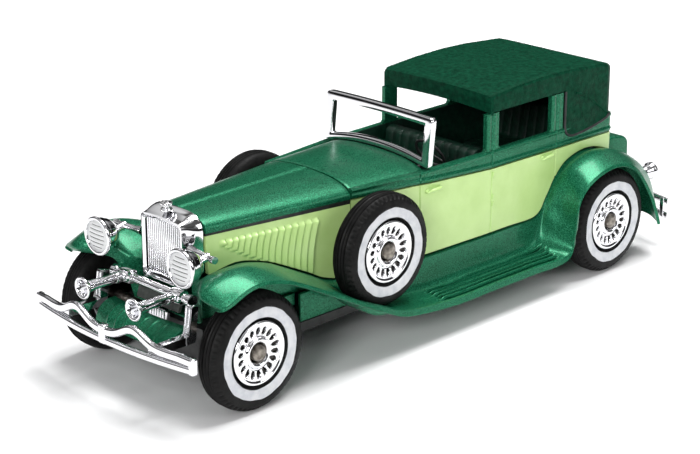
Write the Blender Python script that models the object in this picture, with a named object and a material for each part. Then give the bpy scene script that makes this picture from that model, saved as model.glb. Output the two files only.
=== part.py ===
"""Diecast collector car with an open driver's seat, at about 1:43.

Sizes are in millimetres until a point reaches a mesh. X is across the car (+X is the car's
left), -Y is the front and +Z is up. The origin is on the ground, under the middle of the car.
"""
import math

import bmesh
import bpy
import numpy as np
from mathutils import Matrix, Vector

MM = 0.001

# Wheels and axles
AXLE_HEIGHT = 9.47
FRONT_AXLE_Y = -44.8
REAR_AXLE_Y = 39.4
ROAD_WHEEL_FACE_X = 18.94
SPARE_FACE_X = 17.4
SPARE_Y = -15.5
SPARE_Z = 17.6
TYRE_WIDTH = 4.6
TYRE_SEGMENTS = 32
TYRE_RADIUS = AXLE_HEIGHT / math.cos(math.pi / TYRE_SEGMENTS)
HUB_RADIUS = 5.5
TYRE_BORE = 5.8
AXLE_RADIUS = 0.8
HUB_BORE = 0.92
PIN_HEAD_RADIUS = 1.25
PIN_HEAD_BASE = -0.65

# Body
BONNET_FRONT_Y = -44.3
BONNET_REAR_Y = -17.4
BODY_REAR_Y = 46.9
BONNET_EDGE_Z = 25.2
PANEL_THICKNESS = 0.9
SEAM = 0.32
DECK_Z = 11.9
BELT_TOP_Z = 26.8
ROOF_FRONT_Y = 13.35
ROOF_REAR_Y = 46.2
ROOF_HALF_WIDTH = ((13.0, 12.75), (44.4, 12.6), (45.7, 12.1), (46.2, 11.5))
ROOF_EDGE_Z = ((13.35, 36.4), (14.2, 36.75), (21.3, 37.3), (28.0, 37.5), (34.0, 37.35), (42.9, 36.7),
               (45.1, 36.1), (46.2, 35.3))
ROOF_CAMBER = ((13.35, 0.25), (30.0, 0.2), (46.2, 0.0))
QUARTER_OUTLINE = ((27.1, 32.8), (25.9, 33.2), (25.2, 34.2), (25.0, 35.7), (25.4, 39.9), (26.3, 44.2),
                   (27.1, 45.3))
WINDOW_TOP_Z = 33.6
QUARTER_INNER_X = 12.35
QUARTER_Y = 32.8

# Wings: each station gives the body edge, the inner foot, the crest and the outer lip
WING_THICKNESS = 0.6
WING_STATIONS = (
    ((9.2, -48.3, 12.6), (10.4, -49.0, 17.4), (14.6, -51.8, 18.0), (17.4, -52.2, 17.6)),
    ((8.8, -48.4, 16.2), (10.8, -49.5, 19.0), (14.8, -52.9, 19.3), (18.8, -52.1, 18.3)),
    ((8.0, -47.4, 18.6), (10.8, -49.0, 20.3), (15.0, -51.8, 21.0), (19.1, -50.5, 19.3)),
    ((7.0, -45.2, 18.2), (10.6, -46.0, 20.8), (15.0, -47.6, 22.2), (19.1, -47.0, 20.6)),
    ((7.6, -39.5, 19.3), (11.0, -41.2, 20.9), (15.0, -43.5, 22.1), (19.1, -43.7, 20.8)),
    ((8.3, -34.9, 18.5), (11.4, -36.6, 19.8), (15.0, -38.8, 20.6), (19.1, -39.4, 19.8)),
    ((8.8, -32.1, 17.5), (11.8, -33.2, 18.2), (15.0, -35.0, 18.6), (19.1, -35.7, 18.2)),
    ((9.6, -26.3, 14.7), (12.0, -27.2, 15.0), (15.0, -28.7, 15.2), (19.1, -29.3, 14.9)),
    ((10.2, -22.8, 12.9), (12.3, -23.4, 12.8), (15.2, -24.3, 12.6), (19.1, -24.8, 12.5)),
    ((10.9, -18.0, 11.9), (12.8, -18.0, 10.2), (15.6, -18.6, 9.9), (19.1, -19.2, 9.9)),
    ((12.0, -12.0, 11.9), (13.1, -12.0, 8.1), (16.0, -12.6, 7.6), (19.1, -13.0, 7.5)),
    ((12.7, -2.0, 11.9), (13.2, -2.0, 7.2), (16.2, -2.0, 6.6), (19.1, -2.0, 6.3)),
    ((12.9, 8.0, 11.9), (13.3, 8.0, 7.2), (16.2, 8.0, 6.6), (19.1, 8.0, 6.3)),
    ((12.9, 18.0, 11.9), (13.3, 18.0, 7.2), (16.2, 18.0, 6.6), (19.1, 18.0, 6.3)),
    ((12.9, 25.6, 12.0), (13.4, 25.0, 8.0), (16.2, 25.8, 7.0), (19.1, 26.9, 6.4)),
    ((12.9, 28.4, 15.0), (13.8, 27.6, 13.2), (16.2, 28.1, 11.8), (19.1, 28.6, 10.0)),
    ((12.9, 30.6, 18.0), (14.0, 29.8, 17.2), (16.2, 29.7, 16.2), (19.1, 29.5, 15.2)),
    ((12.9, 33.8, 20.4), (14.2, 33.0, 20.4), (16.3, 32.6, 19.7), (19.1, 32.2, 18.3)),
    ((12.9, 38.8, 21.4), (14.2, 38.6, 21.8), (16.4, 38.2, 21.4), (19.1, 37.4, 20.0)),
    ((12.8, 43.6, 20.6), (14.2, 43.9, 21.0), (16.4, 43.6, 20.6), (19.1, 42.2, 19.7)),
    ((12.3, 48.2, 18.4), (14.0, 49.0, 18.7), (16.4, 48.6, 18.2), (19.1, 46.4, 17.4)),
    ((12.1, 51.6, 15.6), (14.0, 52.8, 15.5), (16.4, 52.4, 14.8), (19.1, 49.9, 12.9)),
    ((12.1, 53.3, 12.2), (14.0, 54.5, 12.0), (16.4, 54.2, 11.1), (19.1, 51.8, 9.4)),
    ((12.1, 53.6, 9.2), (14.0, 54.7, 8.8), (16.4, 54.6, 8.0), (19.1, 52.8, 7.0)),
    ((12.1, 53.5, 7.2), (14.0, 54.4, 6.7), (16.4, 54.4, 6.4), (19.1, 53.1, 6.2)),
)
WING_ROWS = 42
LIP_X = 19.35
LIP_DROP = ((0.0, 0.2), (2.0, 0.5), (8.0, 0.5), (10.0, 1.0), (13.5, 1.0), (15.0, 0.5), (24.0, 0.5))
WELL_INNER_X = 12.55
WELL_OUTER_X = 17.72
WELL_WALL = 0.45
WELL_RADIUS = TYRE_RADIUS + 0.35
WELL_FLOOR = 0.9
LAST_WELL_STATION = 9.6

# Front and rear brightwork
BUMPER_Y = -59.5
BUMPER_HALF_WIDTH = 19.0
BUMPER_SWEEP = 1.9
LAMP_X = 9.95
LAMP_Z = 22.78
LAMP_FACE_Y = -52.2
TIE_BAR_Y = -49.8
TIE_BAR_Z = 16.6
HORN_X = 6.15
HORN_MOUTH_Y = -58.7
IRON_X = 10.7
TAIL_LAMP_X = 13.2
TAIL_LAMP_Z = 13.8
REAR_BUMPER_Y = 59.85

GREEN = (0.02, 0.22, 0.12)
LIGHT_GREEN = (0.45, 0.69, 0.27)
DARK_GREEN = (0.01, 0.09, 0.05)
SEAT_GREEN = (0.01, 0.07, 0.04)
BLACK = (0.01, 0.01, 0.012)
RUBBER_BLACK = (0.015, 0.015, 0.016)
CHROME = (0.85, 0.86, 0.88)
STEEL = (0.42, 0.42, 0.42)
LENS_WHITE = (0.80, 0.82, 0.84)
LENS_RED = (0.45, 0.01, 0.01)


def clear_scene():
    """Remove every object that the scene starts with."""
    for item in list(bpy.data.objects):
        bpy.data.objects.remove(item, do_unlink=True)


def make_material(name, colour, roughness, metallic=0.0):
    """A plain Principled surface."""
    material = bpy.data.materials.new(name)
    material.use_nodes = True
    shader = material.node_tree.nodes["Principled BSDF"]
    shader.inputs["Base Color"].default_value = (*colour, 1.0)
    shader.inputs["Roughness"].default_value = roughness
    shader.inputs["Metallic"].default_value = metallic
    return material


def add_object(name, points, faces, material, origin=(0.0, 0.0, 0.0)):
    """Make an object from points in millimetres, with its origin at the given place."""
    centre = Vector(origin)
    mesh = bpy.data.meshes.new(name)
    mesh.from_pydata([(Vector(point) - centre) * MM for point in points], [], faces)
    work = bmesh.new()
    work.from_mesh(mesh)
    bmesh.ops.recalc_face_normals(work, faces=work.faces[:])
    work.to_mesh(mesh)
    work.free()
    mesh.shade_smooth()
    mesh.set_sharp_from_angle(angle=math.radians(35.0))
    item = bpy.data.objects.new(name, mesh)
    item.location = centre * MM
    item.data.materials.append(material)
    bpy.context.scene.collection.objects.link(item)
    return item


def loft(name, rings, material):
    """Join equal closed rings into one solid with flat ends."""
    count = len(rings[0])
    points = [point for ring in rings for point in ring]
    faces = []
    for row in range(len(rings) - 1):
        for step in range(count):
            following = (step + 1) % count
            low = row * count
            faces.append((low + step, low + following, low + count + following, low + count + step))
    last = (len(rings) - 1) * count
    faces.append(tuple(range(count)))
    faces.append(tuple(range(last, last + count)))
    return add_object(name, points, faces, material)


def closed_sweep(name, sections, material):
    """Join equal closed sections into one ring that ends where it starts."""
    count = len(sections[0])
    total = len(sections)
    points = [point for section in sections for point in section]
    faces = []
    for row in range(total):
        for step in range(count):
            low = row * count
            high = ((row + 1) % total) * count
            following = (step + 1) % count
            faces.append((low + step, low + following, high + following, high + step))
    return add_object(name, points, faces, material)


def box(name, low, high, material):
    """A plain block between two corners."""
    rings = []
    for y in (low[1], high[1]):
        rings.append([(low[0], y, low[2]), (high[0], y, low[2]), (high[0], y, high[2]), (low[0], y, high[2])])
    return loft(name, rings, material)


def prism(name, outline, low_x, high_x, material):
    """Extrude a (y, z) outline along X."""
    rings = [[(x, y, z) for y, z in outline] for x in (low_x, high_x)]
    return loft(name, rings, material)


def axis_point(axis, radius, along, angle):
    """A point at a radius about the X or the Y axis."""
    across = radius * math.cos(angle)
    up = radius * math.sin(angle)
    return (along, across, up) if axis == "X" else (across, along, up)


def turned(name, profile, axis, origin, segments, material):
    """Turn a profile of (radius, along) points; an end on the axis becomes a pole.

    A profile that never reaches the axis is closed on itself, which makes a ring.
    """
    offset = math.pi / segments - math.pi / 2.0
    angles = [offset + 2.0 * math.pi * step / segments for step in range(segments)]
    points = []
    rows = []
    for radius, along in profile:
        if radius < 1e-6:
            rows.append([len(points)] * segments)
            points.append(axis_point(axis, 0.0, along, 0.0))
        else:
            rows.append(list(range(len(points), len(points) + segments)))
            points.extend(axis_point(axis, radius, along, angle) for angle in angles)
    is_ring = min(radius for radius, _ in profile) > 1e-6
    pairs = list(zip(rows, rows[1:]))
    if is_ring:
        pairs.append((rows[-1], rows[0]))
    faces = []
    for low, high in pairs:
        for step in range(segments):
            following = (step + 1) % segments
            corners = (low[step], low[following], high[following], high[step])
            faces.append(tuple(dict.fromkeys(corners)))
    placed = [Vector(point) + Vector(origin) for point in points]
    return add_object(name, placed, faces, material, origin)


def rod(name, route, radius, segments, material):
    """A round bar along a route of points, mitred at each bend."""
    rings = []
    route = [Vector(point) for point in route]
    for place, point in enumerate(route):
        before = route[max(place - 1, 0)]
        after = route[min(place + 1, len(route) - 1)]
        turn = (after - before).normalized().to_track_quat("Z", "Y").to_matrix()
        ring = []
        for step in range(segments):
            angle = 2.0 * math.pi * (step + 0.5) / segments
            ring.append(point + turn @ Vector((radius * math.cos(angle), radius * math.sin(angle), 0.0)))
        rings.append(ring)
    return loft(name, rings, material)


def combine(target, tool, operation):
    """Apply an exact Boolean to the target and remove the tool."""
    modifier = target.modifiers.new(operation.lower(), "BOOLEAN")
    modifier.operation = operation
    modifier.object = tool
    modifier.solver = "EXACT"
    graph = bpy.context.evaluated_depsgraph_get()
    result = bpy.data.meshes.new_from_object(target.evaluated_get(graph))
    target.modifiers.clear()
    target.data = result
    bpy.data.objects.remove(tool, do_unlink=True)
    result.shade_smooth()
    result.set_sharp_from_angle(angle=math.radians(35.0))


def smooth_curve(knots, place):
    """Catmull-Rom value at a place measured in knots."""
    last = len(knots) - 1
    start = min(int(place), last - 1)
    share = place - start
    before = np.asarray(knots[max(start - 1, 0)], dtype=float)
    first = np.asarray(knots[start], dtype=float)
    second = np.asarray(knots[start + 1], dtype=float)
    after = np.asarray(knots[min(start + 2, last)], dtype=float)
    rise = 0.5 * (second - before)
    fall = 0.5 * (after - first)
    cube = share ** 3
    square = share ** 2
    return ((2.0 * cube - 3.0 * square + 1.0) * first + (cube - 2.0 * square + share) * rise
            + (3.0 * square - 2.0 * cube) * second + (cube - square) * fall)


def body_half_width(y):
    """Half the body's width at the belt."""
    return float(np.interp(y, (-44.5, -17.2, -1.2, 12.0, 30.0, 46.9), (6.3, 10.2, 12.2, 12.6, 12.6, 12.2)))


def belt_edge_z(y):
    """Height of the seam between the light green sides and the belt."""
    return float(np.interp(y, (-17.4, -4.0, 14.0, 46.0), (BONNET_EDGE_Z, 24.9, 23.9, 23.5)))


def wing_section(place):
    """One wing section from the body edge to the lip, as dense (x, y, z) rows."""
    rails = [smooth_curve([station[rail] for station in WING_STATIONS], place) for rail in range(4)]
    lip = rails[3].copy()
    drop = np.interp(place, [row[0] for row in LIP_DROP], [row[1] for row in LIP_DROP])
    edge = lip + np.array((LIP_X - 19.1, 0.0, -drop))
    rails.append(edge)
    dense = [smooth_curve(rails, step * 0.05) for step in range(61)]
    dense.append(edge)
    return np.array(dense)


def wing_columns(place, body_x, edge_x):
    """The x places of a wing section's columns, inboard to outboard."""
    foot = WELL_INNER_X - WELL_WALL
    if place < LAST_WELL_STATION:
        inner = (body_x, 0.5 * (body_x + foot), foot, WELL_INNER_X)
    else:
        inner = (body_x, body_x + 0.25, body_x + 0.5, body_x + 0.9)
    spread = (edge_x - 15.0) / (LIP_X - 15.0)
    outer = (15.0, 16.6, WELL_OUTER_X, WELL_OUTER_X + WELL_WALL, 19.0)
    return inner + tuple(15.0 + (x - 15.0) * spread for x in outer)


def well_depth(y):
    """Height of the spare wheel's well at y, or None beside it."""
    reach = abs(y - SPARE_Y)
    if reach >= WELL_RADIUS:
        return None
    return SPARE_Z - math.sqrt(WELL_RADIUS ** 2 - reach ** 2)


def deck_height(place):
    """Height of the flat deck that joins the two wings under the body."""
    return float(np.interp(place, (0.0, 1.0, 21.5, 24.0), (12.0, DECK_Z, DECK_Z, 7.0)))


def wing_row(place):
    """Top and bottom points of one row across half of the wing casting."""
    section = wing_section(place)
    body = section[0]
    deck = deck_height(place)
    step_x = body[0] - float(np.interp(place, (2.0, 3.2, 5.0, 17.0, 19.0), (1.3, 0.5, 1.5, 1.5, 0.7)))
    deck_y = body[1] if place > 3.0 else float(np.interp(place, (0.0, 3.0), (-47.3, -45.2)))
    top = [(0.0, deck_y, deck), (step_x - 0.25, deck_y, deck), (step_x, body[1], max(body[2], deck + 0.01))]
    for x in wing_columns(place, body[0], section[-1, 0]):
        y = float(np.interp(x, section[:, 0], section[:, 1]))
        z = float(np.interp(x, section[:, 0], section[:, 2]))
        top.append((x, y, z))
    top.append(tuple(section[-1]))
    return np.array(top)


def grid_normals(grid):
    """Unit normals of a point grid, upward where the grid is level."""
    along = np.gradient(grid, axis=0)
    across = np.gradient(grid, axis=1)
    normal = np.cross(across, along)
    return normal / np.maximum(np.linalg.norm(normal, axis=2, keepdims=True), 1e-9)


def carve_well(top, bottom):
    """Press the spare wheel's well into the top, and keep a floor of metal below it."""
    for row in range(top.shape[0]):
        for column in range(top.shape[1]):
            x, y, z = top[row, column]
            depth = well_depth(y)
            if depth is None:
                continue
            if WELL_INNER_X - 0.01 <= x <= WELL_OUTER_X + 0.01:
                top[row, column, 2] = min(z, depth)
            if WELL_INNER_X - WELL_WALL - 0.01 <= x <= WELL_OUTER_X + WELL_WALL + 0.01:
                bottom[row, column, 2] = min(bottom[row, column, 2], depth - WELL_FLOOR)


def sheet_faces(rows, columns):
    """Faces of a closed sheet: a top grid, a bottom grid and the rim between them."""
    size = rows * columns
    faces = []
    for row in range(rows - 1):
        for column in range(columns - 1):
            low = row * columns + column
            faces.append((low, low + 1, low + columns + 1, low + columns))
            faces.append((size + low, size + low + columns, size + low + columns + 1, size + low + 1))
    rim = [column for column in range(columns)]
    rim += [row * columns + columns - 1 for row in range(1, rows)]
    rim += [(rows - 1) * columns + column for column in range(columns - 2, -1, -1)]
    rim += [row * columns for row in range(rows - 2, 0, -1)]
    for start, end in zip(rim, rim[1:] + rim[:1]):
        faces.append((start, size + start, size + end, end))
    return faces


def build_wings(material):
    """Wings, running boards and deck as one sheet from lip to lip, with skirts below the deck."""
    places = np.linspace(0.0, len(WING_STATIONS) - 1.0, WING_ROWS)
    half = np.array([wing_row(place) for place in places])
    thickness = WING_THICKNESS * np.interp(places, (0.0, 1.5, 4.0), (0.3, 0.45, 1.0))
    bottom = half - thickness[:, None, None] * grid_normals(half)
    bottom[:, 0, 0] = 0.0
    carve_well(half, bottom)
    flip = np.array((-1.0, 1.0, 1.0))
    whole_top = np.concatenate((half[:, :0:-1] * flip, half), axis=1)
    whole_bottom = np.concatenate((bottom[:, :0:-1] * flip, bottom), axis=1)
    points = np.concatenate((whole_top.reshape(-1, 3), whole_bottom.reshape(-1, 3)))
    faces = sheet_faces(whole_top.shape[0], whole_top.shape[1])
    wings = add_object("wing_casting", points.tolist(), faces, material)
    for side in (-1.0, 1.0):
        for inner_x, front_y, rear_y, low_z in ((8.75, -27.6, -12.0, 6.8), (7.8, -35.0, -27.9, 9.6)):
            low_x, high_x = sorted((side * inner_x, side * (inner_x + 0.6)))
            skirt = box("skirt", (low_x, front_y, low_z), (high_x, rear_y, DECK_Z - 0.25), material)
            combine(wings, skirt, "UNION")
    return wings


def wing_edge(y):
    """Height of the wing casting where it meets the body at y."""
    places = np.linspace(2.5, len(WING_STATIONS) - 1.0, 400)
    rail = np.array([smooth_curve([station[0] for station in WING_STATIONS], place) for place in places])
    return float(np.interp(y, rail[:, 1], rail[:, 2]))


def build_bonnet_side(name, side, material):
    """Side panel of the bonnet, resting on the wing."""
    rings = []
    for y in np.linspace(BONNET_FRONT_Y, BONNET_REAR_Y, 14):
        top_x = body_half_width(y)
        low_z = wing_edge(y) + 0.45
        low_x = top_x + 0.55
        high_z = BONNET_EDGE_Z - SEAM
        ring = [(low_x, y, low_z), (top_x, y, high_z),
                (top_x - PANEL_THICKNESS, y, high_z), (low_x - PANEL_THICKNESS, y, low_z)]
        rings.append([(side * x, place, z) for x, place, z in ring])
    loft(name, rings, material)


def bonnet_crown(y):
    """Height of the centre crease."""
    return float(np.interp(y, (-44.5, -17.2, -1.0), (27.9, 28.3, 28.2)))


def arch_ring(y, half_width, edge_z, crown_z, count=16):
    """A section with upright edges, rounded shoulders and a crease on the centre line."""
    ring = []
    for step in range(count + 1):
        share = -1.0 + 2.0 * step / count
        lift = (1.0 - abs(share) ** 3.0) ** 0.55
        crease = 0.25 * (1.0 - abs(share))
        ring.append((half_width * share, y, edge_z + 0.5 + (crown_z - edge_z - 0.75) * lift + crease))
    ring.append((half_width, y, edge_z))
    ring.append((-half_width, y, edge_z))
    return ring


def build_bonnet_top(material):
    """Bonnet lid, a solid casting with a flat underside."""
    rings = [arch_ring(y, body_half_width(y) + 0.1, BONNET_EDGE_Z, bonnet_crown(y))
             for y in np.linspace(BONNET_FRONT_Y, BONNET_REAR_Y, 8)]
    loft("bonnet_top", rings, material)


def plan_outline(front_y, rear_y, inset):
    """Closed plan of the body shell as (x, y), inset from its outer face."""
    sides = [y for y in (-17.0, -12.0, -6.0, -1.2, 5.0, 12.0, 18.0, 24.0, 27.0, 30.0, 33.0, 36.0,
                         39.0, 42.0, 44.0) if front_y < y < rear_y - 1.0]
    left = [(body_half_width(front_y) - inset, front_y + inset)]
    left += [(body_half_width(y) - inset, y) for y in sides]
    rear_half = body_half_width(rear_y)
    left += [(rear_half - inset, rear_y - 1.2), (rear_half - 1.0 - inset * 0.7, rear_y - inset)]
    right = [(-x, y) for x, y in reversed(left)]
    return left + right


def shell_wall(name, front_y, rear_y, low_height, high_height, material, thickness=1.0):
    """An upright wall round the body's plan, open above and below."""
    outer = plan_outline(front_y, rear_y, 0.0)
    inner = plan_outline(front_y, rear_y, thickness)
    sections = []
    for (outer_x, outer_y), (inner_x, inner_y) in zip(outer, inner):
        low = low_height(outer_y)
        high = high_height(outer_y)
        sections.append([(outer_x, outer_y, low), (outer_x, outer_y, high),
                         (inner_x, inner_y, high), (inner_x, inner_y, low)])
    return closed_sweep(name, sections, material)


def build_lower_body(material):
    """Light green tub with the doors, open above the cockpit and the cabin."""
    shell_wall("lower_body", BONNET_REAR_Y + SEAM, BODY_REAR_Y,
               lambda y: wing_edge(y) + 0.45, lambda y: belt_edge_z(y) - SEAM, material)


def build_upper_body(material):
    """Scuttle, belt band and roof posts as one casting."""
    front = BONNET_REAR_Y + SEAM
    band = shell_wall("upper_body", front, BODY_REAR_Y, belt_edge_z, lambda y: BELT_TOP_Z, material)
    rings = []
    for y in np.linspace(front + 0.2, -1.6, 6):
        rings.append(arch_ring(y, body_half_width(y) - 0.3, belt_edge_z(y) + 0.3, bonnet_crown(y)))
    combine(band, loft("scuttle", rings, material), "UNION")
    for side in (-1.0, 1.0):
        for low_y, high_y in ((12.6, 15.7), (29.4, 32.5)):
            low = (min(side * 11.55, side * 12.45), low_y, BELT_TOP_Z - 0.5)
            high = (max(side * 11.55, side * 12.45), high_y, WINDOW_TOP_Z - 0.3)
            combine(band, box("post", low, high, material), "UNION")
    recess = [(QUARTER_Y - 0.3, 30.0)]
    recess += [(y - 0.3 if z > 25.5 and y < 36.0 else y, z - 0.3) for z, y in QUARTER_OUTLINE]
    recess += [(ROOF_REAR_Y + 2.0, BELT_TOP_Z - 0.1), (ROOF_REAR_Y + 2.0, 30.0)]
    for side in (-1.0, 1.0):
        near, far = sorted((side * (QUARTER_INNER_X - 0.15), side * 14.0))
        combine(band, prism("recess", recess, near, far, material), "DIFFERENCE")


def from_table(table, y):
    """Value at y from rows of (y, value)."""
    return float(np.interp(y, [row[0] for row in table], [row[1] for row in table]))


def roof_ring(y, inset):
    """Roof section with a cambered top, as far down as the quarters reach."""
    half = from_table(ROOF_HALF_WIDTH, y) - inset
    edge = from_table(ROOF_EDGE_Z, y) - inset
    ring = [(-half, y, 24.0), (-half, y, edge - 0.5)]
    for step in range(9):
        share = -1.0 + 2.0 * step / 8
        ring.append(((half - 0.4) * share, y, edge + from_table(ROOF_CAMBER, y) * (1.0 - share ** 2)))
    ring.append((half, y, edge - 0.5))
    ring.append((half, y, 24.0))
    return ring


def build_roof(material):
    """Hollow roof with a front header, open sides and blind quarters that lap over the belt."""
    stations = (ROOF_FRONT_Y, 14.2, 21.0, 28.0, 34.0, 40.0, 44.4, 45.7, ROOF_REAR_Y)
    roof = loft("roof", [roof_ring(y, 0.0) for y in stations], material)
    inner = [roof_ring(y, 0.9) for y in (ROOF_FRONT_Y + 1.0, 21.0, 28.0, 34.0, 40.0, 44.0, ROOF_REAR_Y - 1.0)]
    for ring in inner:
        ring[0] = (ring[0][0], ring[0][1], 22.0)
        ring[-1] = (ring[-1][0], ring[-1][1], 22.0)
    combine(roof, loft("roof_core", inner, material), "DIFFERENCE")
    outline = [(ROOF_FRONT_Y - 5.0, 20.0), (ROOF_FRONT_Y - 5.0, WINDOW_TOP_Z), (QUARTER_Y, WINDOW_TOP_Z)]
    outline += [(y, z) for z, y in QUARTER_OUTLINE]
    outline += [(ROOF_REAR_Y + 2.0, BELT_TOP_Z + SEAM), (ROOF_REAR_Y + 2.0, 20.0)]
    combine(roof, prism("side_cut", outline, -20.0, 20.0, material), "DIFFERENCE")
    lap = box("lap", (-QUARTER_INNER_X, 30.0, 20.0), (QUARTER_INNER_X, 50.0, BELT_TOP_Z + SEAM), material)
    combine(roof, lap, "DIFFERENCE")


def build_trunk(body_material, dark_material):
    """Luggage trunk behind the body, with its carrying handle."""
    rings = []
    for x in (-11.0, -10.5, 10.5, 11.0):
        shrink = 0.5 if abs(x) > 10.8 else 0.0
        rings.append([(x, 47.3 + shrink, 12.8 + shrink), (x, 47.3 + shrink, 21.2 - shrink),
                      (x, 48.6, 21.5 - shrink), (x, 52.2, 20.7 - shrink), (x, 53.1 - shrink, 20.2 - shrink),
                      (x, 53.5 - shrink, 19.3 - shrink), (x, 53.5 - shrink, 12.8 + shrink)])
    loft("trunk", rings, body_material)
    rod("trunk_handle", [(-2.2, 48.2, 22.0), (-1.9, 48.2, 22.6), (1.9, 48.2, 22.6), (2.2, 48.2, 22.0)],
        0.28, 6, dark_material)


def build_interior(seat_material, dark_material):
    """Cabin floor, seats, partition and dashboard."""
    rings = []
    for y in (-15.0, -1.2, 12.0, 30.0, 43.5):
        half = min(body_half_width(y) - 1.4, 10.8)
        rings.append([(-half, y, 12.3), (half, y, 12.3), (half, y, 13.1), (-half, y, 13.1)])
    loft("cabin_floor", rings, dark_material)
    prism("front_seat", [(2.6, 13.5), (13.6, 13.5), (13.6, 26.9), (11.4, 26.9), (10.2, 19.4), (2.6, 19.6)],
          -10.4, 10.4, seat_material)
    prism("rear_seat", [(32.0, 13.5), (43.9, 13.5), (43.9, 26.6), (41.6, 26.6), (40.4, 20.0), (32.0, 20.2)],
          -10.8, 10.8, seat_material)
    box("partition", (-10.9, 14.1, 13.5), (10.9, 14.9, 26.4), dark_material)
    box("dashboard", (-10.6, -1.2, 19.0), (10.6, 0.0, 25.9), dark_material)
    build_steering_wheel(dark_material)


def build_steering_wheel(material):
    """Rim, hub, three spokes and column in one moulding."""
    tilt = Matrix.Rotation(math.radians(32.0), 3, "X")
    centre = Vector((5.6, 6.0, 26.65))
    radius = 2.9
    sections = []
    for step in range(24):
        angle = 2.0 * math.pi * step / 24
        section = []
        for corner in range(6):
            turn = 2.0 * math.pi * corner / 6
            reach = radius + 0.28 * math.cos(turn)
            local = Vector((reach * math.cos(angle), 0.28 * math.sin(turn), reach * math.sin(angle)))
            section.append(centre + tilt @ local)
        sections.append(section)
    wheel = closed_sweep("steering_wheel", sections, material)
    hub = []
    for along in (-0.3, 0.3):
        ring = [centre + tilt @ Vector((0.6 * math.cos(a), along, 0.6 * math.sin(a)))
                for a in np.linspace(0.0, 2.0 * math.pi, 9)[:-1]]
        hub.append(ring)
    combine(wheel, loft("wheel_hub", hub, material), "UNION")
    combine(wheel, rod("column", [centre, centre + tilt @ Vector((0.0, -5.4, 0.0))], 0.35, 8, material), "UNION")
    for degrees in (90.0, 210.0, 330.0):
        angle = math.radians(degrees)
        direction = tilt @ Vector((math.cos(angle), 0.0, math.sin(angle)))
        spoke = rod("spoke", [centre + direction * 0.3, centre + direction * radius], 0.15, 6, material)
        combine(wheel, spoke, "UNION")


def rounded_frame(half_width, low_z, high_z, radius, arch, count=5):
    """Points round a frame with rounded corners, its upper rail bowed by arch."""
    points = []
    corners = ((half_width, high_z, 0.0), (-half_width, high_z, 90.0),
               (-half_width, low_z, 180.0), (half_width, low_z, 270.0))
    for x, z, start in corners:
        centre_x = x - math.copysign(radius, x)
        centre_z = z - radius if z == high_z else z + radius
        for step in range(count):
            angle = math.radians(start + 90.0 * step / (count - 1))
            points.append((centre_x + radius * math.cos(angle), centre_z + radius * math.sin(angle)))
        if start in (0.0, 180.0):
            for share in (0.5, 0.0, -0.5):
                offset = share * half_width * (1.0 if start == 0.0 else -1.0)
                points.append((offset, z + arch * (1.0 - share ** 2)))
    return points


def build_windscreen(material):
    """Chrome windscreen frame, open in the middle, leaning back a little."""
    outer = rounded_frame(12.2, 28.1, 35.1, 1.1, 0.4)
    inner = rounded_frame(10.9, 29.1, 34.1, 0.5, 0.4)
    sections = []
    for (outer_x, outer_z), (inner_x, inner_z) in zip(outer, inner):
        section = []
        for x, z, depth in ((outer_x, outer_z, -0.5), (outer_x, outer_z, 0.5),
                            (inner_x, inner_z, 0.5), (inner_x, inner_z, -0.5)):
            lean = 0.1 * (z - 28.0)
            section.append((x, -0.95 + lean + depth, z + 0.15))
        sections.append(section)
    closed_sweep("windscreen_frame", sections, material)


def build_radiator(chrome, grille_material, strip_material):
    """Shell, slatted core, cap, lower strip and crank cover."""
    front = rounded_frame(4.85, 16.3, 26.9, 0.5, 0.35)
    mouth = rounded_frame(4.15, 17.3, 26.2, 0.4, 0.35)
    rear = rounded_frame(6.2, 17.0, 27.9, 1.2, 0.35)
    rear_mouth = rounded_frame(5.2, 17.5, 26.9, 0.8, 0.35)
    sections = []
    for a, b, c, d in zip(front, mouth, rear, rear_mouth):
        sections.append([(b[0], -47.6, b[1]), (a[0], -47.9, a[1]), (c[0], -44.65, c[1]), (d[0], -44.65, d[1])])
    closed_sweep("radiator_shell", sections, chrome)
    box("radiator_core", (-3.8, -47.3, 18.0), (3.8, -45.2, 25.85), grille_material)
    cap = [(0.9, 28.1), (0.9, 28.4), (0.5, 28.5), (0.5, 28.9), (1.0, 29.1), (0.8, 29.6)]
    turned_upright("radiator_cap", cap, (0.0, -46.6, 0.0), 12, chrome)
    strip = [(-48.2, 15.9), (-47.5, 15.9), (-48.5, 13.2), (-49.1, 13.2)]
    prism("radiator_strip", strip, -5.0, 5.0, strip_material)
    rings = []
    for y in (-49.2, -48.5):
        half_turn = np.linspace(math.pi, 2.0 * math.pi, 11)
        ring = [(2.4 * math.cos(a), y, 12.9 + 3.2 * math.sin(a)) for a in half_turn]
        rings.append(ring)
    loft("crank_cover", rings, chrome)


def turned_upright(name, profile, origin, segments, material):
    """Turn a profile of (radius, height) points about Z."""
    rings = []
    for radius, height in profile:
        ring = []
        for step in range(segments):
            angle = 2.0 * math.pi * step / segments
            ring.append((origin[0] + radius * math.cos(angle), origin[1] + radius * math.sin(angle), height))
        rings.append(ring)
    return loft(name, rings, material)


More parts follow.
